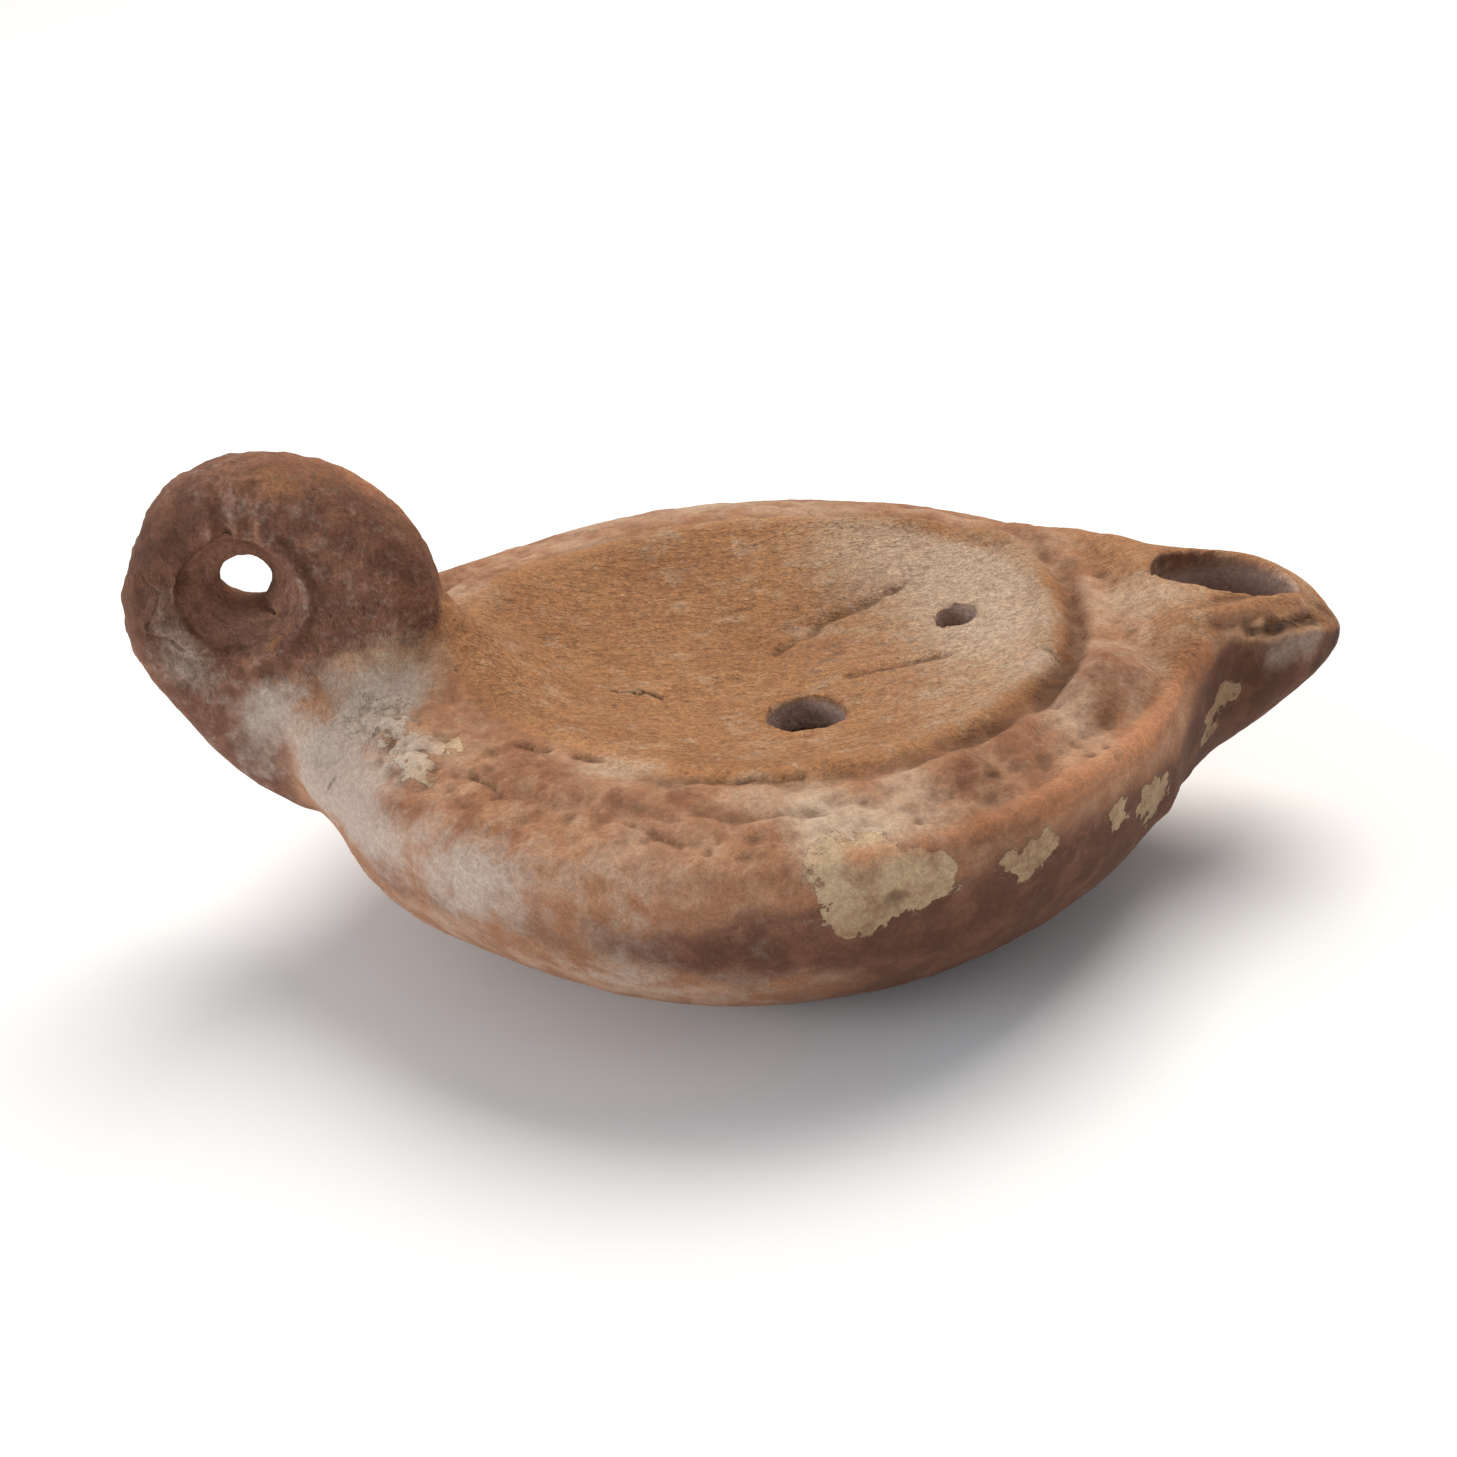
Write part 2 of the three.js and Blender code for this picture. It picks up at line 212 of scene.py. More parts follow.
def points_of(piece: bpy.types.Object) -> Array:
    """The places of a mesh's points, one row each."""
    flat = np.empty(len(piece.data.vertices) * 3)
    piece.data.vertices.foreach_get("co", flat)
    return flat.reshape(-1, 3)


def place_points(piece: bpy.types.Object, points: Array) -> None:
    """Puts a mesh's points at new places."""
    piece.data.vertices.foreach_set("co", points.ravel())
    piece.data.update()


def normals_of(piece: bpy.types.Object) -> Array:
    """The outward directions at a mesh's points, one row each."""
    flat = np.empty(len(piece.data.vertices) * 3)
    piece.data.vertex_normals.foreach_get("vector", flat)
    return flat.reshape(-1, 3)


def face_outwards(piece: bpy.types.Object) -> None:
    """Merges doubled points and turns every face outwards."""
    take_up(piece)
    bpy.ops.object.mode_set(mode="EDIT")
    bpy.ops.mesh.select_all(action="SELECT")
    bpy.ops.mesh.remove_doubles(threshold=1e-4)
    bpy.ops.mesh.normals_make_consistent(inside=False)
    bpy.ops.object.mode_set(mode="OBJECT")


def finish_modifier(piece: bpy.types.Object, kind: str, **settings: object) -> None:
    """Adds one modifier with its settings and applies it."""
    take_up(piece)
    modifier = piece.modifiers.new(kind.lower(), kind)
    for name, value in settings.items():
        setattr(modifier, name, value)
    bpy.ops.object.modifier_apply(modifier=modifier.name)


def combine(piece: bpy.types.Object, other: bpy.types.Object, operation: str) -> None:
    """Joins another solid to a piece, or cuts it away, and deletes the other solid.

    Args:
        piece: The solid that stays.
        other: The solid that is used up.
        operation: UNION or DIFFERENCE.
    """
    finish_modifier(piece, "BOOLEAN", operation=operation, object=other, solver="MANIFOLD")
    bpy.data.objects.remove(other)


def turned(name: str, profile: Sequence[tuple[float, float]], steps: int) -> bpy.types.Object:
    """A profile drawn out point by point and spun round the upright axis.

    Args:
        name: Name of the new object.
        profile: Radius and height of each point, in millimetres, from axis to axis.
        steps: How many steps the turn takes.

    Returns:
        A closed mesh object.
    """
    start_fresh()
    bpy.ops.mesh.primitive_plane_add(size=1.0, location=ORIGIN)
    piece = bpy.context.object
    piece.name = name
    bpy.ops.object.mode_set(mode="EDIT")
    bpy.ops.mesh.select_all(action="SELECT")
    bpy.ops.mesh.merge(type="CENTER")
    radius, height = profile[0]
    bpy.ops.transform.translate(value=(radius, 0.0, height))
    for next_radius, next_height in profile[1:]:
        move = (next_radius - radius, 0.0, next_height - height)
        bpy.ops.mesh.extrude_vertices_move(TRANSFORM_OT_translate={"value": move})
        radius, height = next_radius, next_height
    bpy.ops.mesh.select_all(action="SELECT")
    bpy.ops.mesh.spin(steps=steps, angle=2.0 * math.pi, center=ORIGIN, axis=(0.0, 0.0, 1.0))
    bpy.ops.object.mode_set(mode="OBJECT")
    face_outwards(piece)
    return piece


def drawn_bar(
    name: str, stations: int, sides: int, place: Callable[[Array, Array, Array], Array]
) -> bpy.types.Object:
    """A round bar extruded station by station, whose rings are then drawn to the shape of a form.

    Args:
        name: Name of the new object.
        stations: How many rings it has.
        sides: How many points are on a ring.
        place: Gives the final places from the ring number, the angle round the ring, and 1 on the ring
            or 0 at the hub of an end.

    Returns:
        A closed mesh object.
    """
    start_fresh()
    bpy.ops.mesh.primitive_circle_add(vertices=sides, radius=1.0, fill_type="TRIFAN", location=ORIGIN)
    piece = bpy.context.object
    piece.name = name
    bpy.ops.object.mode_set(mode="EDIT")
    bpy.ops.mesh.select_all(action="SELECT")
    for _ in range(stations - 1):
        bpy.ops.mesh.extrude_region_move(TRANSFORM_OT_translate={"value": (0.0, 0.0, 1.0)})
    bpy.ops.object.mode_set(mode="OBJECT")
    straight = points_of(piece)
    ring = np.rint(straight[:, 2])
    angle = np.arctan2(straight[:, 1], straight[:, 0]) % (2.0 * math.pi)
    reach = np.rint(np.hypot(straight[:, 0], straight[:, 1]))
    place_points(piece, place(ring, angle, reach))
    face_outwards(piece)
    return piece


@dataclass
class BodyForm:
    """The low round body: lower wall, shoulder and sunk discus."""

    radius: float = 37.0
    rim_height: float = 20.9
    base_radius: float = 15.5
    wall_fullness: float = 2.6
    groove_radius: float = 12.6
    groove_width: float = 1.2
    groove_depth: float = 0.5
    shoulder_rise: float = 2.3
    discus_radius: float = 26.3
    lip_radius: float = 24.75
    lip_worn: float = 0.2
    lip_shift: float = 2.8
    discus_depth: float = 3.4
    dish_power: float = 2.4
    row_power: float = 1.15
    wall_rows: int = 26
    shoulder_rows: int = 12
    dish_rows: int = 22
    steps: int = 128

    @property
    def ring_height(self) -> float:
        """Height of the flat ring between shoulder and discus."""
        return self.rim_height + self.shoulder_rise

    def wall_radius(self, height: Values, outer: float, rim: float, base: float, foot: float) -> Array:
        """Radius of a lower wall at a height, for a wall from (base, foot) up to (outer, rim)."""
        n = self.wall_fullness
        depth = (rim - foot) / (1.0 - (base / outer) ** n) ** (1.0 / n)
        share = np.clip((rim - height) / depth, 0.0, 1.0)
        return outer * (1.0 - share**n) ** (1.0 / n)

    def outer_wall(self, height: Values) -> Array:
        """Radius of the outside of the lower wall at a height."""
        return self.wall_radius(height, self.radius, self.rim_height, self.base_radius, 0.0)

    def worn_lip(self, angle: Array) -> Array:
        """Radius of the lip round the disc as it is worn, by direction in degrees."""
        lip = self.lip_radius - self.lip_worn
        return lip - self.lip_shift * around(angle, -142.0, 52.0) + self.lip_shift * around(angle, 32.0, 42.0)

    def top_height(self, radius: Values, lip: Values | None = None) -> Array:
        """Height of the plain top at a radius.

        Args:
            radius: Distance from the lamp's axis.
            lip: Radius at which the discus starts to sink, where it isn't the usual one.

        Returns:
            Heights above the base.
        """
        edge = self.lip_radius if lip is None else lip
        across = np.clip((self.radius - radius) / (self.radius - self.discus_radius), 0.0, 1.0)
        shoulder = self.rim_height + self.shoulder_rise * np.sin(across * math.pi / 2.0)
        sunk = self.discus_depth * (1.0 - (np.minimum(radius, edge) / edge) ** self.dish_power)
        return np.where(radius > edge, shoulder, self.ring_height - sunk)

    def build(self) -> bpy.types.Object:
        """Draws and spins the outside of the body."""
        half = self.groove_width / 2.0
        profile = [
            (0.0, 0.0),
            (self.groove_radius - half, 0.0),
            (self.groove_radius, self.groove_depth),
            (self.groove_radius + half, 0.0),
            (self.base_radius, 0.0),
        ]
        for row in range(1, self.wall_rows + 1):
            left = math.cos(row / self.wall_rows * math.pi / 2.0) ** self.row_power
            height = self.rim_height * (1.0 - left)
            profile.append((float(self.outer_wall(height)), height))
        for row in range(1, self.shoulder_rows + 1):
            radius = self.radius + (self.lip_radius - self.radius) * row / self.shoulder_rows
            profile.append((radius, float(self.top_height(radius))))
        for row in range(1, self.dish_rows + 1):
            radius = self.lip_radius * (1.0 - row / self.dish_rows)
            profile.append((radius, float(self.top_height(radius))))
        return turned("body", profile, self.steps)


@dataclass
class NozzleForm:
    """The short rounded nozzle, flared into the shoulder and nearly flat on top."""

    body: BodyForm
    root: float = 31.0
    waist: float = 41.0
    tip: float = 51.7
    half_width: float = 9.0
    flare: float = 0.12
    lean: float = 0.04
    top: float = 24.7
    top_fall: float = 0.0165
    top_rise: float = 0.075
    tip_height: float = 17.4
    keel_x: float = 43.4
    keel_z: float = 10.4
    keel_slope: float = 0.68
    keel_bend: float = 0.033
    shelf: float = 0.72
    rim_inset: float = 2.2
    wall: float = 3.0
    top_power: float = 0.62
    root_power: float = 0.74
    tip_power: float = 0.96
    stations: int = 26
    sides: int = 56

    def section(self, x: Array) -> tuple[Array, Array, Array, Array]:
        """The nozzle's section at x.

        Args:
            x: Places along the lamp.

        Returns:
            Half width, height of the top, height of the underside, and y of the middle.
        """
        rim = self.body.radius - self.rim_inset
        nose = np.clip((x - self.waist) / (self.tip - self.waist), 0.0, 1.0)
        behind = np.maximum(0.0, self.waist - x)
        fallen = self.top_fall * np.maximum(0.0, x - rim) ** 2
        sunk = self.top_rise * np.maximum(0.0, self.body.radius - x) ** 2
        top = self.top - fallen - sunk
        middle = -self.lean * (self.tip - x)
        edge = np.sqrt(np.maximum(self.body.radius**2 - x * x, 0.0)) + middle
        flared = self.half_width * np.sqrt(1.0 - nose * nose) + self.flare * behind * behind
        from_keel = self.keel_x - x
        keel = self.keel_z - self.keel_slope * from_keel + self.keel_bend * np.maximum(0.0, from_keel) ** 2
        half = np.where(x < rim, np.minimum(flared, edge), flared)
        top = self.tip_height + (top - self.tip_height) * (1.0 - nose**5) ** 0.36
        bottom = self.tip_height - (self.tip_height - keel) * (1.0 - nose**6) ** 0.4
        return half, top, bottom, middle

    def build(self, start: float, end: float, inset: float) -> bpy.types.Object:
        """Draws the nozzle, or its channel, between two places along the lamp.

        Args:
            start: x of its first ring.
            end: x of its last ring.
            inset: How far it is moved in from the outside.

        Returns:
            A closed mesh object.
        """

        def place(ring: Array, angle: Array, reach: Array) -> Array:
            along = np.sin(ring / (self.stations - 1) * math.pi / 2.0)
            x = start + (end - start) * along
            half, top, bottom, middle = self.section(x + inset * along)
            shelf = bottom + (top - bottom) * self.shelf
            across, up = np.cos(angle), np.sin(angle)
            under = self.root_power + (self.tip_power - self.root_power) * along
            power = np.where(up > 0.0, self.top_power, under)
            wide = np.maximum(half - inset, 0.25) * reach
            rise = np.maximum(np.where(up > 0.0, top - shelf, shelf - bottom) - inset, 0.15) * reach
            y = middle + np.sign(across) * wide * np.abs(across) ** power
            z = shelf + np.sign(up) * rise * np.abs(up) ** power
            return np.stack([x, y, z], axis=1)

        return drawn_bar("nozzle", self.stations, self.sides, place)


@dataclass
class HandleForm:
    """The upright pierced handle, and the clay smeared round its foot."""

    body: BodyForm
    x: float = -38.6
    height: float = 31.0
    radius: float = 12.85
    rise: float = 12.4
    corner: float = 0.5
    thickness: float = 10.0
    rounding: float = 3.8
    twist: float = math.radians(-4.0)
    tail_drop: float = 18.3
    hole_x: float = -40.9
    hole_z: float = 33.6
    hole_mouth: float = 4.85
    hole_throat: float = 1.95
    hole_far: float = 0.9
    hole_brim: float = 1.12
    hole_bowl: tuple[tuple[float, float], ...] = ((1.04, 1.0), (0.97, 0.66), (0.84, 0.42), (0.66, 0.24))
    hole_land: float = 0.5
    hole_steps: int = 48
    foot_top: float = 32.0
    foot_inset: float = 0.6
    foot_spread: float = 9.5
    foot_front: float = -26.2
    foot_flare: float = 10.0
    foot_swell: float = 2.6
    foot_lean: float = 8.0
    foot_corner: float = 0.8
    foot_bottom: float = 6.0
    layers: int = 7
    sides: int = 128
    foot_rows: int = 16
    foot_sides: int = 72

    def local(self, points: Array) -> tuple[Array, Array, Array]:
        """Places along, through and up from the handle's centre."""
        dx, dy = points[:, 0] - self.x, points[:, 1]
        c, s = math.cos(self.twist), math.sin(self.twist)
        return dx * c + dy * s, dy * c - dx * s, points[:, 2] - self.height

    def edge(self, angle: Array) -> Array:
        """Distance from the centre to the edge, in a direction measured from +X up over the top."""
        over = np.where(angle < math.pi, np.sin(angle) ** 2, 0.0)
        degrees = np.degrees(angle)
        behind = np.clip((degrees - 195.0) / 75.0, 0.0, 1.15) ** 2.4
        in_front = smooth((345.0 - degrees) / 60.0)
        corner = self.corner * smooth(1.0 - np.abs(degrees - 122.0) / 40.0)
        reach = self.radius - (self.radius - self.rise) * over
        return reach + corner + (self.tail_drop - self.radius) * np.minimum(behind, in_front)

    def mouth_edge(self, points: Array) -> Array:
        """The raised edge round the hole's near mouth, 1 on its crest and strongest away from the tail."""
        along, through, rise = self.local(points)
        hx, hz = along - (self.hole_x - self.x), rise - (self.hole_z - self.height)
        away = np.hypot(hx, hz)
        side = smooth(0.15 + 0.95 * (hx - 0.35 * hz) / np.maximum(away, 0.1)) * (through < -2.5)
        return side * rib(away - self.hole_mouth - 0.35, 1.9) * (points[:, 0] < -28.0)

    def build(self) -> bpy.types.Object:
        """Draws the disc of the handle with its rounded edge and the tail down its back."""
        half = self.thickness / 2.0

        def place(ring: Array, angle: Array, reach: Array) -> Array:
            last = 2 * self.layers - 1
            side = np.where(ring < self.layers, 1.0, -1.0)
            turn = np.where(ring < self.layers, ring, last - ring) / (self.layers - 1) * math.pi / 2.0
            through = side * (half - self.rounding * (1.0 - np.cos(turn)))
            inset = self.rounding * (1.0 - np.sin(turn))
            out = (self.edge(angle) - inset) * reach
            return np.stack([out * np.cos(angle), through, out * np.sin(angle)], axis=1)

        piece = drawn_bar("handle", 2 * self.layers, self.sides, place)
        self.stand(piece)
        return piece

    def stand(self, piece: bpy.types.Object) -> None:
        """Turns a shape made round the handle's own centre and moves it to its place on the lamp."""
        turn = Matrix.Rotation(self.twist, 4, "Z")
        piece.data.transform(Matrix.Translation((self.x, 0.0, self.height)) @ turn)

    def build_foot(self) -> bpy.types.Object:
        """Draws the clay that was smeared out over the shoulder and down the wall."""
        rim = self.body.rim_height

        def place(ring: Array, angle: Array, reach: Array) -> Array:
            z = self.foot_bottom + (self.foot_top - self.foot_bottom) * ring / (self.foot_rows - 1)
            above = np.clip((z - rim) / (self.foot_top - rim), 0.0, 1.0)
            down = smooth((rim - z) / (rim - self.foot_bottom))
            wall = self.body.outer_wall(np.minimum(z, rim))
            spread = self.foot_spread * (1.0 - above) ** 3 * (1.0 - 0.7 * down)
            half = self.thickness / 2.0 - self.foot_inset + spread
            front = self.foot_front + self.foot_flare * (1.0 - above) ** 1.6
            back = -wall - self.foot_swell * (1.0 - down) - self.foot_lean * above
            c, s = np.cos(angle), np.sin(angle)
            span = reach * (front - back) / 2.0
            x = (front + back) / 2.0 + span * np.sign(c) * np.abs(c) ** self.foot_corner
            return np.stack([x, reach * half * np.sign(s) * np.abs(s) ** self.foot_corner, z], axis=1)

        return drawn_bar("handle_foot", self.foot_rows, self.foot_sides, place)

    def build_hole(self) -> bpy.types.Object:
        """Turns the cutter for the hole: wide at both mouths and narrow halfway."""
        half = self.thickness / 2.0
        reach = half + 2.0
        mouth, throat = self.hole_mouth, self.hole_throat
        bowl = [(self.hole_brim, reach), *((share, depth * half) for share, depth in self.hole_bowl)]
        profile = [(0.0, -reach)]
        profile += [(mouth * share, -place) for share, place in bowl]
        profile += [(throat, -self.hole_land), (throat, self.hole_land)]
        profile += [(mouth * share * self.hole_far, place) for share, place in reversed(bowl)]
        profile += [(0.0, reach)]
        hole = turned("handle_hole", profile, self.hole_steps)
        away = Matrix.Translation((self.hole_x - self.x, 0.0, self.hole_z - self.height))
        hole.data.transform(away @ Matrix.Rotation(-math.pi / 2.0, 4, "X"))
        self.stand(hole)
        return hole


@dataclass
class Hollow:
    """The holes through the top and the hollow inside."""

    body: BodyForm
    nozzle: NozzleForm
    grain: Grain
    wall: float = 3.4
    floor: float = 4.0
    discus_wall: float = 3.2
    filling: tuple[float, float, float] = (3.0, -10.6, 3.3)
    air: tuple[float, float, float] = (18.4, 3.1, 1.75)
    stretch: float = 1.26
    wick_x: float = 41.4
    wick_y: float = 0.7
    wick_length: float = 12.6
    wick_width: float = 10.4
    wick_floor: float = 16.4
    above: float = 28.0
    punch_sides: int = 48
    unevenness: float = 0.05
    chamber_rows: int = 10
    chamber_steps: int = 64
    chamber_inset: float = 1.5
    roof_shares: tuple[float, ...] = (1.0, 0.85, 0.7, 0.5, 0.3, 0.0)

    def punch(
        self, x: float, y: float, half_length: float, half_width: float, bottom: float
    ) -> bpy.types.Object:
        """A slightly uneven round or oval cutter through the top.

        Args:
            x: Its centre along the lamp.
            y: Its centre across the lamp.
            half_length: Half of its length along the lamp.
            half_width: Half of its width.
            bottom: Height down to which it cuts.

        Returns:
            A closed mesh object.
        """
        start_fresh()
        middle, depth = (self.above + bottom) / 2.0, self.above - bottom
        place = (x, y, middle)
        bpy.ops.mesh.primitive_cylinder_add(
            vertices=self.punch_sides, radius=1.0, depth=depth, location=place
        )
        cutter = bpy.context.object
        bpy.ops.object.mode_set(mode="EDIT")
        bpy.ops.mesh.select_all(action="SELECT")
        bpy.ops.transform.resize(value=(half_length, half_width, 1.0), center_override=place)
        bpy.ops.object.mode_set(mode="OBJECT")
        cutter.data.transform(Matrix.Translation(place))
        cutter.location = ORIGIN
        points = points_of(cutter)
        out = points[:, :2] - (x, y)
        uneven = self.unevenness * self.grain.at(points * (1.0, 1.0, 0.2), half_length * 0.9)
        points[:, :2] += out * uneven[:, None]
        place_points(cutter, points)
        return cutter

    def punches(self) -> list[bpy.types.Object]:
        """The cutters for the filling hole, the air hole and the wick hole."""
        under = self.body.ring_height - self.body.discus_depth - self.discus_wall - 2.0
        fx, fy, fr = self.filling
        ax, ay, ar = self.air
        half_length, half_width = self.wick_length / 2.0, self.wick_width / 2.0
        return [
            self.punch(fx, fy, fr, fr * self.stretch, under),
            self.punch(ax, ay, ar, ar * self.stretch, under),
            self.punch(self.wick_x, self.wick_y, half_length, half_width, self.wick_floor),
        ]

    def build_chamber(self) -> bpy.types.Object:
        """Turns the oil chamber: the outside moved in by the thickness of the clay."""
        rim = self.body.rim_height - self.wall / 2.0
        radius = self.body.radius - self.wall
        base = self.body.base_radius - self.wall / 2.0
        profile = [(0.0, self.floor), (base, self.floor)]
        for row in range(1, self.chamber_rows + 1):
            left = math.cos(row / self.chamber_rows * math.pi / 2.0)
            height = self.floor + (rim - self.floor) * (1.0 - left)
            profile.append((float(self.body.wall_radius(height, radius, rim, base, self.floor)), height))
        edge = self.body.discus_radius - self.chamber_inset
        corner = self.body.rim_height + self.body.shoulder_rise / 2.0 - self.wall
        profile.append(((radius + edge) / 2.0, corner))
        for share in self.roof_shares:
            profile.append((edge * share, float(self.body.top_height(edge * share)) - self.discus_wall))
        return turned("chamber", profile, self.chamber_steps)

    def build_channel(self) -> bpy.types.Object:
        """Draws the channel from the chamber to under the wick hole."""
        end = self.wick_x + self.wick_length / 2.0 - self.nozzle.wall
        return self.nozzle.build(self.nozzle.root - 2.0, end, self.nozzle.wall)


@dataclass
class LeafWreath:
    """The worn wreath of paired leaves on the shoulder, and the boss on each side of the nozzle."""

    body: BodyForm
    pairs: int = 13
    length: float = 8.0
    width: float = 4.2
    height: float = 0.5
    splay: float = math.radians(26.0)
    bed: float = 0.4
    boss_angle: float = math.radians(31.5)
    boss_length: float = 14.0
    boss_width: float = 8.4
    boss_height: float = 1.75
    far_boss_left: float = 0.45
    foot_spread: float = 9.5
    inner_gap: float = 0.75
    outer_gap: float = 2.2

    def swelling(self, points: Array, x: float, y: float, turn: float, length: float, width: float) -> Array:
        """A low oval swelling, 1 at its middle, with its length turned by an angle."""
        dx, dy = points[:, 0] - x, points[:, 1] - y
        u = (dx * math.cos(turn) + dy * math.sin(turn)) / (length / 2.0)
        v = (dy * math.cos(turn) - dx * math.sin(turn)) / (width / 2.0)
        return smooth(1.0 - u * u - v * v)

    def relief(self, points: Array) -> Array:
        """Height of the raised work above the plain shoulder.

        Args:
            points: Places on the top of the lamp.

        Returns:
            Heights in millimetres, with the sunk bed between the leaves below zero.
        """
        radius = np.hypot(points[:, 0], points[:, 1])
        inner, outer = self.body.discus_radius + self.inner_gap, self.body.radius - self.outer_gap
        middle = (inner + outer) / 2.0
        band = smooth((1.0 - np.abs(radius - middle) / (outer - middle)) * 3.0)
        first = self.boss_angle + self.boss_length / 2.0 / middle
        pitch = (math.pi - self.foot_spread / middle - first) / self.pairs
        leaves = np.zeros(len(points))
        for side in (-1.0, 1.0):
            for number in range(self.pairs):
                for row in (-1.0, 1.0):
                    angle = side * (first + (number + 0.5 + row * 0.2) * pitch)
                    out = middle + row * (outer - inner) / 4.0
                    turn = angle + side * (math.pi / 2.0 - row * self.splay)
                    x, y = out * math.cos(angle), out * math.sin(angle)
                    leaf = self.swelling(points, x, y, turn, self.length, self.width)
                    leaves = np.maximum(leaves, self.height * leaf)
        return leaves - self.bed * band

    def bosses(self, points: Array) -> Array:
        """Height of the two bosses, of which the far one is more worn."""
        middle = (self.body.discus_radius + self.inner_gap + self.body.radius - self.outer_gap) / 2.0
        total = np.zeros(len(points))
        for side, left in ((-1.0, 1.0), (1.0, self.far_boss_left)):
            angle = side * self.boss_angle
            x, y = middle * math.cos(angle), middle * math.sin(angle)
            turn = angle + math.pi / 2.0
            boss = self.swelling(points, x, y, turn, self.boss_length, self.boss_width)
            total += left * self.boss_height * boss
        return total


def refine(piece: bpy.types.Object, near: Array) -> None:
    """Divides the faces whose points are all marked.

    Args:
        piece: The mesh.
        near: True for each marked point.
    """
    take_up(piece)
    mesh = piece.data
    corners = np.empty(len(mesh.loops), dtype=int)
    starts = np.empty(len(mesh.polygons), dtype=int)
    mesh.loops.foreach_get("vertex_index", corners)
    mesh.polygons.foreach_get("loop_start", starts)
    chosen = np.minimum.reduceat(near[corners].astype(int), starts).astype(bool)
    for items in (mesh.vertices, mesh.edges, mesh.polygons):
        items.foreach_set("select", np.zeros(len(items), dtype=bool))
    mesh.polygons.foreach_set("select", chosen)
    bpy.context.tool_settings.mesh_select_mode = (False, False, True)
    bpy.ops.object.mode_set(mode="EDIT")
    bpy.ops.mesh.subdivide(number_cuts=1)
    bpy.ops.object.mode_set(mode="OBJECT")
    bpy.context.tool_settings.mesh_select_mode = (True, False, False)


class Skin:
    """The outer mesh of the lamp, with what is needed to wear it point by point."""

    def __init__(self, piece: bpy.types.Object) -> None:
        """Reads the mesh's points, directions and edges."""
        self.piece = piece
        self.points = points_of(piece)
        flat = np.empty(len(piece.data.edges) * 2, dtype=int)
        piece.data.edges.foreach_get("vertices", flat)
        self.edges = flat.reshape(-1, 2)
        self.count = len(self.points)
        self.degree = np.bincount(flat, minlength=self.count).astype(float)
        self.normals = normals_of(piece)

    def spread(self, values: Array, rounds: int) -> Array:
        """Averages a value at each point with its neighbours, several times over."""
        first, last = self.edges[:, 0], self.edges[:, 1]
        for _ in range(rounds):
            total = np.bincount(first, values[last], self.count)
            total += np.bincount(last, values[first], self.count)
            values = 0.5 * values + 0.5 * total / self.degree
        return values

    def move(self, amount: Array) -> None:
        """Moves every point along its own outward direction."""
        self.points = self.points + self.normals * amount[:, None]
        self.refresh()

    def refresh(self) -> None:
        """Writes the points to the mesh and reads the new directions."""
        place_points(self.piece, self.points)
        self.normals = normals_of(self.piece)

    def pulls(self) -> Array:
        """How far each point lies from the middle of its neighbours, as a direction."""
        first, last = self.edges[:, 0], self.edges[:, 1]
        total = np.empty_like(self.points)
        for axis in range(3):
            values = self.points[:, axis]
            total[:, axis] = np.bincount(first, values[last], self.count)
            total[:, axis] += np.bincount(last, values[first], self.count)
        return total / self.degree[:, None] - self.points

    def rub_down(self, where: Array, rounds: int) -> None:
        """Wears edges round, as handling does.

        Args:
            where: Strength at each point, from 0 to 1.
            rounds: How many times the surface is rubbed.
        """
        for _ in range(rounds):
            self.points += 0.5 * self.pulls() * where[:, None]
        self.refresh()

    def fill_creases(self, where: Array, rounds: int) -> None:
        """Draws clay into the hollow corners of a region and leaves its outward curves as they are.

        Args:
            where: Strength at each point, from 0 to 1.
            rounds: How many times the clay is drawn in.
        """
        for turn in range(rounds):
            rise = np.maximum((self.pulls() * self.normals).sum(axis=1), 0.0)
            self.points += self.normals * (rise * where)[:, None]
            if turn % 10 == 9:
                self.refresh()
        self.refresh()


def band_streaks(grain: Grain, points: Array, size: float, layers: int) -> Array:
    """Noise drawn out round the lamp, for worn work on the shoulder and its colours."""
    radius = np.hypot(points[:, 0], points[:, 1])
    turn = np.arctan2(points[:, 1], points[:, 0])
    return grain.layered(np.stack([radius, turn * 14.0, points[:, 2]], axis=1), size, layers, 0.5)


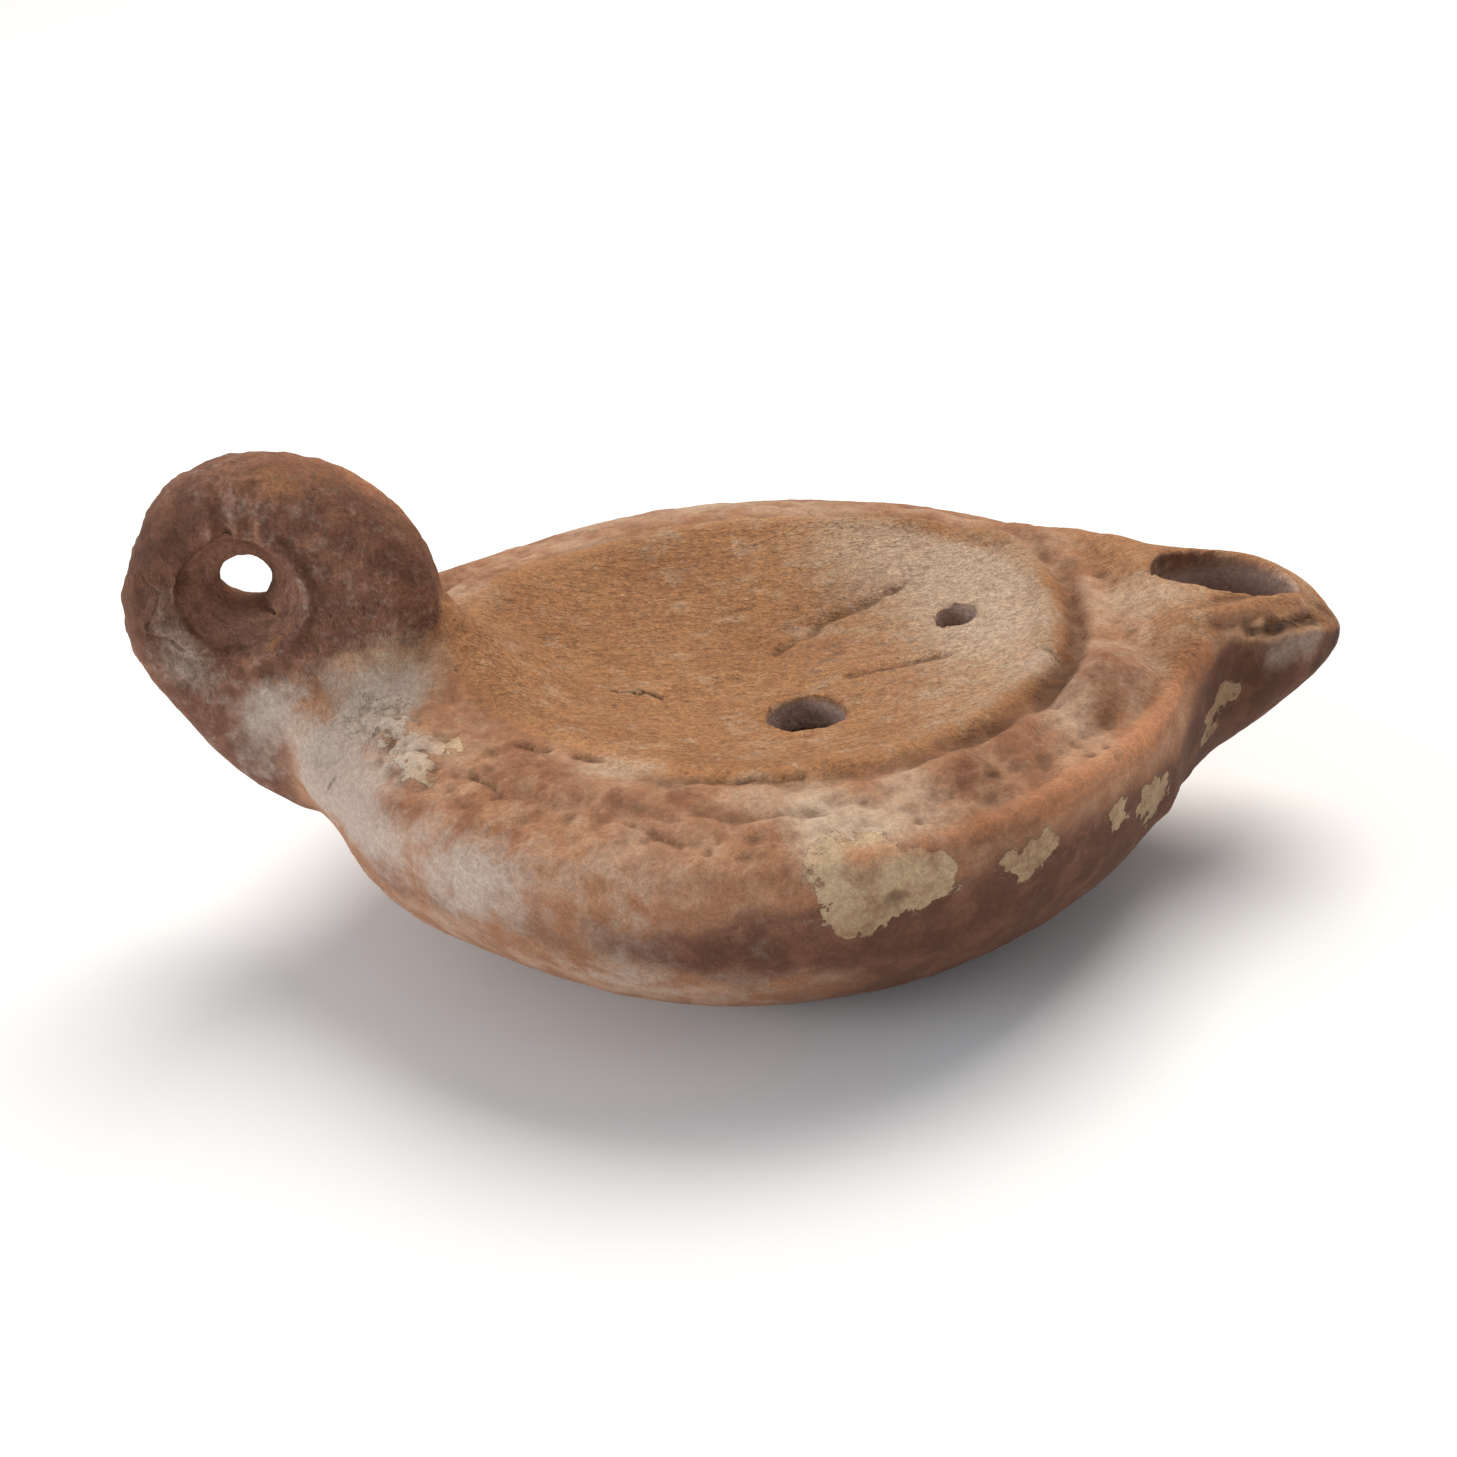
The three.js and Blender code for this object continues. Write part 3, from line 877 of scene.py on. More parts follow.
@dataclass
class Wear:
    """The relief of the worn surface: mouldings, leaves, lumps, pits and cracks, in millimetres."""

    body: BodyForm
    handle: HandleForm
    hollow: Hollow
    wreath: LeafWreath
    grain: Grain
    lumps: tuple[Spot, ...] = (
        Spot(10.7, -28.2, 22.6, 2.6, 0.55),
        Spot(14.2, -28.0, 22.4, 2.2, 0.5),
        Spot(15.5, -30.4, 21.9, 2.4, 0.4),
        Spot(6.5, -34.1, 21.8, 2.2, 0.3),
        Spot(11.3, -32.4, 21.8, 2.6, 0.4),
        Spot(-12.3, -32.3, 21.8, 2.4, 0.45),
        Spot(-15.1, -31.2, 21.8, 2.0, 0.45),
        Spot(-8.4, -30.7, 22.3, 2.4, 0.4),
        Spot(-17.6, -24.0, 23.0, 2.3, 0.55),
        Spot(-20.4, -20.3, 23.1, 2.0, 0.5),
        Spot(-23.5, -17.6, 22.8, 2.2, 0.45),
        Spot(-8.1, -34.5, 21.6, 1.8, 0.3),
        Spot(2.8, -25.7, 23.0, 2.0, 0.3),
        Spot(19.9, -28.1, 21.9, 2.2, 0.4),
        Spot(13.9, -34.3, 21.2, 2.0, 0.3),
        Spot(-29.9, -11.4, 22.6, 3.6, 0.5),
        Spot(-28.3, -15.1, 22.5, 3.0, 0.5),
    )
    pits: tuple[Spot, ...] = (
        Spot(-15.0, -19.7, 23.6, 1.0, 0.55),
        Spot(-22.6, -22.6, 22.6, 1.0, 0.8),
        Spot(-17.2, -27.1, 22.5, 1.1, 0.5),
        Spot(-6.1, -25.2, 22.8, 1.0, 0.4),
        Spot(-7.4, -33.8, 21.7, 0.9, 0.5),
        Spot(-5.0, -35.0, 21.7, 0.9, 0.5),
        Spot(-3.8, -35.5, 21.6, 1.0, 0.6),
        Spot(-25.9, -20.3, 22.5, 0.8, 0.4),
        Spot(-1.9, -36.5, 21.2, 0.9, 0.4),
        Spot(23.9, -10.9, 22.6, 0.9, 0.4),
        Spot(22.7, -16.3, 23.4, 0.7, 0.4),
        Spot(21.6, -19.9, 23.1, 0.8, 0.45),
        Spot(21.8, -25.0, 22.1, 0.8, 0.45),
        Spot(22.7, -26.3, 21.8, 0.7, 0.4),
        Spot(24.1, -25.2, 21.6, 0.8, 0.4),
        Spot(24.5, -26.7, 21.3, 0.7, 0.35),
        Spot(17.6, -24.3, 23.0, 0.8, 0.35),
        Spot(14.6, -28.9, 22.3, 0.9, 0.4),
        Spot(7.9, -33.1, 22.1, 0.9, 0.35),
        Spot(5.7, -36.4, 17.6, 1.2, 0.5),
        Spot(6.5, -25.2, 22.8, 0.8, 0.35),
        Spot(4.4, -30.7, 22.5, 0.8, 0.35),
        Spot(-36.9, -5.1, 38.1, 1.0, 0.5),
        Spot(-34.0, -5.3, 35.2, 0.8, 0.3),
        Spot(-30.6, -12.6, 22.8, 1.0, 0.6),
    )
    crust: tuple[Spot, ...] = (
        Spot(-31.4, -8.7, 23.4, 4.0, 0.8),
        Spot(-29.9, -11.6, 22.9, 4.5, 0.9),
        Spot(-28.3, -15.1, 22.5, 5.0, 0.9),
        Spot(-41.2, -4.8, 27.5, 3.0, 0.8),
        Spot(-39.3, -5.6, 25.6, 2.6, 0.6),
    )
    long_pits: tuple[Stroke, ...] = (
        Stroke(((-20.4, -15.8), (-18.3, -17.4)), 1.2, -0.7),
        Stroke(((-16.2, -19.0), (-14.2, -20.3)), 1.0, -0.45),
        Stroke(((-24.2, -19.0), (-22.5, -21.2)), 0.9, -0.35),
        Stroke(((-8.2, -25.0), (-4.2, -26.2), (0.6, -26.6)), 1.0, -0.35),
        Stroke(((-3.9, -31.0), (1.5, -31.4)), 1.0, -0.25),
        Stroke(((-13.0, -29.0), (-9.4, -32.6)), 1.1, -0.3),
        Stroke(((22.6, -9.4), (24.6, -13.0)), 0.8, -0.3),
    )
    cracks: tuple[Stroke, ...] = (
        Stroke(
            ((-12.4, -3.1), (-11.9, -3.7), (-10.9, -3.4), (-10.3, -4.1), (-9.7, -3.7), (-8.4, -4.7)),
            0.55,
            -0.5,
        ),
        Stroke(((-11.0, -3.5), (-10.1, -3.1), (-9.4, -3.8)), 0.4, -0.3),
        Stroke(((-21.4, 4.5), (-20.8, 4.1), (-20.1, 3.9)), 0.5, -0.4),
        Stroke(((-23.4, 7.2), (-22.8, 6.5)), 0.5, -0.3),
        Stroke(
            ((-36.9, -10.0, 16.2), (-36.1, -11.3, 18.4), (-35.3, -11.6, 19.6), (-34.8, -12.3, 21.0)),
            0.5,
            -0.22,
        ),
        Stroke(
            ((-48.9, -3.6, 35.8), (-47.6, -4.3, 34.6), (-48.0, -4.3, 33.3), (-49.1, -4.0, 31.6)), 0.5, -0.14
        ),
        Stroke(((-49.1, -4.0, 31.0), (-47.4, -4.4, 30.6), (-46.4, -4.5, 29.4)), 0.5, -0.14),
        Stroke(((-2.0, -35.9, 21.5), (3.5, -36.0, 21.4), (8.9, -35.8, 21.0)), 0.6, -0.25),
    )
    discus_streaks: tuple[Stroke, ...] = (
        Stroke(((16.4, 14.0), (10.8, 10.5), (5.1, 6.9), (2.6, 4.6)), 3.4, 0.40),
        Stroke(((15.4, 11.1), (12.8, 9.7), (10.8, 8.7), (7.8, 7.3), (5.1, 5.1), (2.4, 2.6)), 1.5, -0.6),
        Stroke(((17.4, -3.2), (12.3, -2.8), (8.4, -2.2)), 2.6, 0.35),
        Stroke(((7.7, -4.0), (9.5, -4.2), (11.5, -4.3), (13.4, -3.9), (16.0, -4.6)), 1.4, -0.6),
        Stroke(((-2.5, 9.5), (3.0, 11.0), (8.0, 14.5)), 2.6, 0.22),
        Stroke(((-18.0, 8.0), (-11.0, 11.5), (-4.0, 12.5)), 2.2, 0.15),
    )
    far_folds: tuple[Stroke, ...] = (
        Stroke(((-26.5, 9.5), (-21.0, 17.5), (-14.5, 22.5)), 1.6, 0.4),
        Stroke(((-27.5, 14.0), (-23.0, 20.0), (-18.0, 24.5)), 1.2, -0.35),
        Stroke(((-28.0, 16.5), (-24.5, 21.5), (-19.5, 26.0)), 1.6, 0.3),
    )
    handle_grooves: tuple[Stroke, ...] = (
        Stroke(((-42.9, -3.4, 42.8), (-42.6, -4.9, 39.2)), 1.8, 0.3),
        Stroke(((-41.6, -3.0, 42.8), (-41.4, -4.9, 38.8)), 2.0, -0.5),
        Stroke(((-40.4, -3.3, 42.8), (-40.5, -4.9, 39.3)), 1.7, 0.4),
        Stroke(((-38.7, -3.5, 42.2), (-39.6, -4.9, 39.0)), 2.0, -0.4),
        Stroke(((-37.6, -3.5, 41.9), (-38.6, -4.9, 39.2)), 1.6, 0.25),
    )
    mouth_ridge: float = 0.55
    nozzle_lip: tuple[Stroke, ...] = (
        Stroke(((36.5, -8.9), (40.4, -7.5), (43.4, -6.0), (46.4, -4.0), (49.0, -2.6)), 2.2, 0.7),
        Stroke(((38.6, -6.2), (42.0, -5.2), (44.4, -4.0)), 1.4, -0.3),
        Stroke(((41.0, -8.9, 22.1), (43.1, -8.4, 22.2), (45.0, -7.5, 22.0), (47.7, -5.7, 21.3)), 2.6, -1.0),
    )

    def fine_places(self, points: Array) -> Array:
        """Where the mesh has to be finer than elsewhere, for cracks and narrow grooves."""
        near = np.zeros(len(points), dtype=bool)
        for line in (*self.cracks, *self.handle_grooves):
            near |= line.away(points) < line.width / 2.0 + 0.45
        return near & ((points[:, 2] > 19.0) | (points[:, 0] < -30.0))

    def run(self, skin: Skin) -> Array:
        """Gives the whole skin its relief.

        Args:
            skin: The outer mesh before its wear.

        Returns:
            How far each point was moved, which tells proud places from hollow ones.
        """
        p = skin.points
        radius = np.hypot(p[:, 0], p[:, 1])
        angle = np.degrees(np.arctan2(p[:, 1], p[:, 0]))
        up = skin.normals[:, 2]
        along, _, rise = self.handle.local(p)
        foot = 1.0 - step(np.hypot((p[:, 0] + 35.0) / 11.5, p[:, 1] / 13.5), 1.0, 0.35)
        top = step(up, 0.55, 0.3) * step(p[:, 2], 19.6, 1.2) * (1.0 - foot)
        nozzle = step(p[:, 0], 34.5, 4.0) * step(np.abs(p[:, 1] + 0.4), 11.0, 3.0, Side.BELOW)
        handle = step(p[:, 2], 25.5, 3.0) * step(p[:, 0], -24.0, 2.0, Side.BELOW)
        discus = top * step(radius, 24.0, 2.0, Side.BELOW)
        shoulder = top * step(radius, 26.6, 1.6) * (1.0 - nozzle)

        shape = top * self.mouldings(p, radius, angle, nozzle)
        worn = (0.7 + 0.5 * self.grain.at(p, 9.0)) * (1.0 - 0.5 * around(angle, 110.0, 80.0))
        shape += top * (1.0 - nozzle) * self.wreath.relief(p) * worn
        shape += top * self.wreath.bosses(p)
        shape += marks(self.lumps, p) + top * marks(self.far_folds, p)
        shape += self.large_forms(p, radius, angle, along, rise, handle)

        rough = self.grain.layered(p, 3.4, 3, 0.55)
        fine = self.grain.layered(p + 71.0, 1.3, 2, 0.6)
        swirl = self.grain.at(np.stack([radius * 1.3, angle * 0.16, p[:, 2]], axis=1), 1.5)
        small = 0.06 * rough + 0.03 * fine
        lost_grit = np.maximum(self.grain.at(p + 9.0, 1.1) - 0.45, 0.0)
        small += discus * (0.05 * swirl + 0.05 * fine - 0.06 * lost_grit)
        calm = (1.0 - 0.6 * around(angle, 110.0, 80.0)) * step(radius, 34.6, 2.0, Side.BELOW)
        small += shoulder * calm * (0.32 * band_streaks(self.grain, p, 3.4, 2) + 0.09 * rough + 0.05 * fine)
        crusty = handle * step(along, -1.0, 8.0, Side.BELOW)
        small += handle * (0.07 * rough + 0.05 * fine) + crusty * (0.05 * rough + 0.05 * fine)
        broken = smooth(0.6 + 0.9 * self.grain.at(p + 8.0, 2.2))
        small += marks(self.handle_grooves, p) * (0.8 + 0.5 * self.grain.at(p + 2.0, 1.6))
        small += marks(self.nozzle_lip, p) * step(p[:, 2], 17.0, 2.0) * broken
        small += self.mouth_ridge * self.handle.mouth_edge(p)
        small += top * marks(self.long_pits, p) * (0.8 + 0.6 * self.grain.at(p, 1.1))
        torn = 0.35 + 0.65 * smooth(0.55 + 1.1 * self.grain.at(p + 5.0, 2.6))
        torn *= 0.7 + 0.8 * np.abs(self.grain.at(p + 5.0, 0.9))
        wander = p + 0.5 * np.stack([self.grain.at(p + 3.0 * k, 4.0) for k in range(3)], axis=1)
        small += top * marks(self.discus_streaks, wander) * torn
        jagged = p + 0.45 * np.stack([self.grain.at(p + 7.0 * k, 1.3) for k in range(3)], axis=1)
        small += marks(self.cracks, p) - 0.7 * marks(self.pits, jagged)
        small += marks(self.crust, p) * (0.25 + 0.4 * self.grain.layered(p + 31.0, 1.6, 2, 0.6))
        small *= 1.0 - 0.6 * step(p[:, 2], 1.0, 0.8, Side.BELOW)

        skin.move(shape)
        soft = top * step(radius, 16.0, 3.0) * step(radius, 29.5, 2.0, Side.BELOW)
        soft *= np.clip(around(angle, -145.0, 75.0) + 0.8 * around(angle, 125.0, 80.0), 0.0, 1.0)
        skin.rub_down(soft, 60)
        skin.move(small)
        under = skin.points[:, 2] < 0.0
        skin.points[under, 2] = 0.0
        skin.refresh()
        return 0.4 * shape + small

    def mouldings(self, p: Array, radius: Array, angle: Array, nozzle: Array) -> Array:
        """The lip and groove round the discus, and the ridge along the rim, as far as they have worn."""
        lip = self.body.worn_lip(angle)
        shift = self.body.top_height(radius, lip) - self.body.top_height(radius)
        crisp = 1.0 - 0.85 * around(angle, -150.0, 75.0) - 0.6 * around(angle, 125.0, 90.0)
        worn = crisp * (0.85 + 0.4 * self.grain.at(p, 6.0))
        ring = 0.5 * worn * rib(radius - lip - 0.9, 3.2)
        groove = 0.85 * worn * rib(radius - lip - 3.1, 3.0)
        second = 0.35 * around(angle, 5.0, 45.0) * rib(radius - lip - 6.4, 2.6)
        edge = (0.1 + 0.6 * around(angle, -50.0, 38.0)) * rib(radius - 35.9, 2.6)
        return shift + ring - groove - second + edge * (1.0 - nozzle)

    def large_forms(
        self, p: Array, radius: Array, angle: Array, along: Array, rise: Array, handle: Array
    ) -> Array:
        """Slow unevenness of the hand-made form, where it leaves the plain turned shape."""
        wall = step(p[:, 2], 20.0, 3.0, Side.BELOW) * step(p[:, 2], 2.0, 3.0)
        slow = 0.16 * self.grain.at(p, 17.0) + 0.08 * self.grain.at(p, 7.0)
        low = step(p[:, 2], 11.0, 6.0, Side.BELOW)
        fuller = wall * (0.9 * around(angle, -162.0, 18.0) + 0.25 * around(angle, -32.0, 22.0))
        fuller -= 0.45 * wall * low * around(angle, -130.0, 24.0)
        far_rim = step(p[:, 2], 19.0, 2.0) * (1.0 - handle)
        raised = 1.1 * far_rim * step(radius, 26.0, 4.0) * around(angle, 146.0, 30.0)
        lowered = 0.25 * far_rim * step(radius, 29.0, 4.0) * around(angle, 95.0, 45.0)
        turn = np.degrees(np.arctan2(rise, along)) % 360.0
        back = step(p[:, 0], -36.0, 3.0, Side.BELOW) * step(p[:, 2], 14.0, 3.0)
        edge = back * (-0.3 * around(turn, 150.0, 26.0) - 0.45 * around(turn, 212.0, 34.0))
        edge -= 0.3 * handle * around(turn, 35.0, 35.0)
        nose = step(p[:, 0], 44.0, 5.0)
        fuller_far = 0.3 * step(p[:, 1], 2.0, 4.0) * step(p[:, 2], 18.5, 2.0)
        beak = nose * (fuller_far - 0.1 * step(p[:, 1], 0.0, 4.0, Side.BELOW))
        keel = 0.3 * step(p[:, 0], 38.0, 5.0) * step(p[:, 2], 15.0, 4.0, Side.BELOW)
        beak -= keel * step(p[:, 1], 0.0, 6.0, Side.BELOW)
        saddle = marks((Spot(32.0, 14.5, 22.0, 9.0, 1.3),), p) * step(p[:, 2], 19.0, 2.0)
        return slow * step(p[:, 2], 0.6, 1.0) + fuller + raised + lowered + edge + beak + saddle


@dataclass
class Patina:
    """Where slip, chalk, lime, film and soot lie, and where shade and highlights are painted, as attributes
    on the finished mesh.
    """

    body: BodyForm
    handle: HandleForm
    hollow: Hollow
    grain: Grain
    lime: tuple[Spot, ...] = (
        Spot(2.0, -36.9, 19.8, 6.0, 1.2),
        Spot(6.4, -36.0, 19.0, 5.0, 1.1),
        Spot(8.9, -35.6, 18.8, 3.4, 0.9),
        Spot(3.8, -36.5, 16.6, 3.6, 0.8),
        Spot(14.7, -33.7, 17.2, 3.4, 0.8),
        Spot(17.2, -32.5, 17.6, 3.4, 0.8),
        Spot(24.5, -27.3, 16.6, 2.8, 0.85),
        Spot(29.2, -21.8, 14.6, 4.2, 0.8),
        Spot(27.8, -23.9, 16.6, 3.4, 0.8),
        Spot(36.6, -11.9, 14.8, 3.0, 0.7),
        Spot(37.9, -10.8, 17.4, 3.2, 0.75),
        Spot(-31.4, -8.7, 23.4, 4.4, 0.8),
        Spot(-30.4, -11.4, 22.9, 3.2, 0.6),
        Spot(-28.0, -15.1, 22.5, 5.2, 0.8),
        Spot(-22.0, 30.0, 13.0, 5.5, 0.8),
        Spot(8.0, 35.0, 14.5, 6.0, 0.8),
        Spot(12.0, 34.0, 16.0, 4.0, 0.8),
        Spot(26.0, 25.0, 17.0, 5.0, 0.75),
    )
    chalk: tuple[Spot, ...] = (
        Spot(0.4, -29.6, 23.1, 5.0, 0.8),
        Spot(8.0, -30.5, 22.8, 5.5, 0.4),
        Spot(8.6, -33.6, 22.0, 5.0, 0.5),
        Spot(3.0, -34.0, 22.0, 6.0, 0.8),
        Spot(-14.3, -21.3, 23.1, 4.0, 0.8),
        Spot(-11.0, -22.6, 23.1, 3.6, 0.6),
        Spot(-4.0, -28.8, 23.2, 3.6, 0.5),
        Spot(-28.8, -13.0, 22.8, 6.5, 0.4),
        Spot(-29.6, -5.6, 26.4, 6.0, 0.75),
        Spot(-33.0, -5.4, 26.0, 4.0, 0.5),
        Spot(-12.0, 33.0, 22.0, 9.0, 0.6),
        Spot(0.0, 35.0, 22.0, 10.0, 0.9),
        Spot(23.1, -18.5, 23.5, 4.0, 0.6),
        Spot(22.5, -13.0, 23.3, 4.0, 0.6),
        Spot(22.0, -22.5, 22.6, 4.5, 0.6),
        Spot(19.2, 6.0, 21.8, 13.0, 0.45),
        Spot(20.0, -3.0, 21.8, 8.0, 0.4),
        Spot(24.1, 10.8, 22.7, 10.0, 0.5),
        Spot(13.0, 18.0, 22.0, 13.0, 0.5),
        Spot(2.0, -34.6, 21.8, 6.5, 0.8),
        Spot(32.0, -2.0, 23.6, 8.0, 0.55),
        Spot(36.0, -5.0, 23.6, 5.0, 0.5),
        Spot(-24.0, 14.0, 23.6, 6.0, 0.5),
        Spot(10.0, 30.0, 22.6, 8.0, 0.5),
    )
    film: tuple[Spot, ...] = (
        Spot(-33.2, -16.6, 18.2, 7.5, 1.0),
        Spot(-28.5, -23.6, 17.6, 8.5, 0.6),
        Spot(-24.4, -27.6, 16.6, 8.0, 0.5),
        Spot(-37.3, -10.7, 21.5, 5.5, 0.75),
        Spot(-35.5, -10.3, 22.6, 5.0, 0.6),
        Spot(-34.1, -14.2, 20.1, 5.5, 0.6),
        Spot(-38.0, -10.5, 18.0, 5.5, 0.85),
        Spot(-35.2, -5.6, 25.9, 4.5, 0.5),
        Spot(-32.0, -7.6, 24.6, 5.0, 0.45),
        Spot(-29.4, -5.6, 26.6, 4.6, 0.3),
        Spot(-31.4, -8.7, 23.4, 4.6, 0.75),
        Spot(-29.9, -11.6, 22.9, 4.6, 0.35),
        Spot(-28.3, -15.1, 22.5, 4.6, 0.5),
        Spot(-28.6, -6.6, 24.2, 3.6, 0.45),
        Spot(-4.5, -36.0, 14.4, 2.4, 0.5),
        Spot(-40.4, -6.4, 23.6, 4.4, 0.9),
        Spot(-42.2, -4.8, 18.8, 5.0, 0.55),
        Spot(-43.6, -4.7, 22.2, 4.5, 0.25),
        Spot(-47.2, -4.4, 28.6, 5.0, 0.6),
        Spot(-47.5, -4.4, 33.2, 5.0, 0.38),
        Spot(-44.8, -4.5, 26.0, 4.5, 0.3),
        Spot(-39.4, -6.0, 25.4, 3.4, 0.4),
        Spot(-41.0, -4.8, 41.0, 3.6, 0.4),
        Spot(46.2, -1.0, 19.5, 4.0, 0.7),
        Spot(-22.0, -29.5, 19.6, 8.0, 0.42),
        Spot(-14.0, -33.6, 19.0, 8.0, 0.3),
        Spot(42.8, -9.2, 19.6, 3.6, 0.5),
        Spot(45.4, -8.3, 20.0, 4.0, 0.38),
        Spot(47.2, -6.9, 19.8, 3.0, 0.3),
        Spot(-14.0, -33.0, 13.0, 8.0, 0.35),
        Spot(-30.0, 20.0, 14.0, 9.0, 0.6),
    )
    # Soot round the wick and the nozzle's tip, and darker spots at the handle's root; the dark strokes in the
    # dent beside the wick hole are partly soot and partly painted shade, and those along the two grooves on
    # the disc are painted shadow.
    soot_and_shade: tuple[Spot | Stroke, ...] = (
        Stroke(((41.0, -8.9, 22.0), (43.1, -8.5, 22.1)), 2.0, 0.45),
        Stroke(((43.1, -8.5, 22.1), (45.0, -7.6, 21.9), (47.6, -5.8, 21.2)), 2.8, 0.75),
        Stroke(((15.4, 11.1, 21.4), (12.8, 9.7, 21.0), (10.8, 8.7, 20.6), (7.8, 7.3, 20.2)), 1.7, 0.62),
        Stroke(((7.7, -4.0, 20.1), (11.5, -4.3, 20.4), (15.1, -4.6, 21.0)), 1.6, 0.66),
        Spot(49.4, -4.6, 18.6, 2.4, 0.8),
        Spot(47.8, -6.8, 17.2, 2.8, 0.6),
        Spot(-25.0, -2.5, 27.0, 3.4, 0.55),
        Spot(-24.0, 1.0, 26.5, 3.6, 0.5),
        Spot(-39.6, -5.4, 26.6, 2.4, 0.5),
    )
    # Real stains together with painted shade: the dark marks on the handle's left end, the nozzle's near
    # side, the right of the shoulder and along the groove on the near right stand in for shade.
    stains_and_shade: tuple[Spot | Stroke, ...] = (
        Stroke(
            ((7.2, -26.9, 23.0), (13.9, -24.1, 23.0), (19.7, -19.7, 23.0), (24.1, -13.9, 23.0)), 3.0, 0.45
        ),
        Stroke(((24.1, -13.9, 23.0), (26.9, -7.2, 23.0), (28.6, 0.0, 23.0), (30.0, 7.8, 23.0)), 3.2, 0.55),
        Spot(36.5, 2.5, 19.5, 4.0, 0.6),
        Spot(-50.0, -3.5, 34.0, 7.0, 0.8),
        Spot(-48.0, -4.0, 28.0, 6.0, 0.3),
        Spot(-46.5, -4.0, 39.5, 6.0, 0.7),
        Spot(-25.8, 3.0, 24.5, 5.0, 0.7),
        Stroke(((-37.0, -1.0, 43.0), (-31.0, -1.0, 40.5), (-27.5, -1.0, 35.0)), 7.0, 0.4),
        Spot(49.5, -3.0, 19.0, 6.0, 0.6),
        Spot(44.0, -8.5, 16.0, 11.0, 0.45),
        Spot(38.0, -12.0, 19.0, 8.0, 0.5),
        Spot(-26.0, 0.0, 33.0, 8.0, 0.4),
        Spot(41.6, 5.6, 19.5, 6.0, 0.5),
        Spot(26.0, -17.5, 23.6, 7.0, 0.4),
        Spot(14.0, -30.0, 22.0, 8.0, 0.35),
        Spot(33.0, -12.0, 23.0, 7.0, 0.35),
        Spot(-22.0, -9.5, 23.4, 6.0, 0.3),
        Spot(10.0, 10.0, 20.6, 10.0, 0.25),
        Spot(-6.0, 20.0, 21.5, 12.0, 0.2),
    )
    rust: tuple[Spot | Stroke, ...] = (
        Spot(26.2, -16.6, 24.0, 7.0, 0.9),
        Spot(22.6, -21.0, 23.2, 6.0, 0.7),
        Spot(12.0, -31.0, 22.2, 5.0, 0.6),
        Spot(-23.0, -17.0, 23.2, 7.0, 0.55),
        Spot(-12.0, -30.0, 22.4, 7.0, 0.45),
        Spot(-24.0, 0.0, 25.5, 6.0, 0.6),
        Stroke(((16.5, 13.6, 21.9), (10.8, 10.3, 20.8), (5.1, 6.6, 20.1)), 4.0, 0.6),
        Spot(19.5, 5.0, 21.0, 3.4, 0.5),
        Spot(11.5, 14.0, 20.8, 3.0, 0.7),
        Spot(15.0, 13.0, 21.4, 3.4, 0.7),
        Spot(8.4, 12.0, 20.6, 2.2, 0.6),
        Spot(-22.0, -9.0, 22.6, 6.0, 0.5),
        Spot(-24.0, 4.0, 23.2, 5.0, 0.6),
        Spot(17.0, -24.0, 22.8, 4.0, 0.6),
        Spot(14.0, -30.0, 22.0, 4.0, 0.5),
        Spot(-19.0, -20.0, 23.0, 4.0, 0.6),
        Spot(49.0, -2.5, 19.5, 4.0, 0.6),
    )
    # Painted highlights: warm glints along the lit rim ridge on the near right and along the handle's upper
    # right edge, and a warm glow in the lower left of the handle's hole.
    painted_glint: tuple[Stroke, ...] = (
        Stroke(((3.0, -36.2, 21.3), (11.0, -34.9, 21.3), (18.0, -31.8, 21.3)), 3.2, 0.8),
        Stroke(((18.0, -31.8, 21.3), (24.0, -27.5, 21.3), (28.8, -22.7, 21.4)), 4.8, 1.0),
        Stroke(((28.8, -22.7, 21.4), (32.8, -15.9, 21.8), (36.0, -12.2, 22.2)), 4.2, 1.0),
        Stroke(((-31.0, 1.0, 40.5), (-28.0, 1.0, 36.0), (-26.2, 1.0, 31.0)), 7.0, 0.45),
        Stroke(((-37.0, 0.0, 43.0), (-31.0, 0.0, 40.5)), 7.0, 0.3),
        Stroke(((-43.2, 0.5, 32.4), (-42.0, 0.8, 31.6)), 2.4, 1.0),
    )

    def paint(self, piece: bpy.types.Object, skin: Skin, relief: Array) -> None:
        """Writes the attributes that the clay finish reads.

        Args:
            piece: The finished mesh, still in millimetres.
            skin: The outer mesh before it was hollowed.
            relief: How far each point of that mesh was moved.
        """
        broad = skin.spread(relief, 14)
        sunk = np.clip((broad - relief) / 0.16, 0.0, 1.0)
        proud = np.clip((relief - broad) / 0.16, 0.0, 1.0)
        tree = KDTree(skin.count)
        for number, place in enumerate(skin.points):
            tree.insert(place, number)
        tree.balance()
        p = points_of(piece)
        found = [tree.find(place)[1:] for place in p]
        near = np.array([number for number, _ in found])
        away = np.array([distance for _, distance in found])
        n = normals_of(piece)
        radius = np.hypot(p[:, 0], p[:, 1])
        angle = np.degrees(np.arctan2(p[:, 1], p[:, 0]))
        along, through, rise = self.handle.local(p)
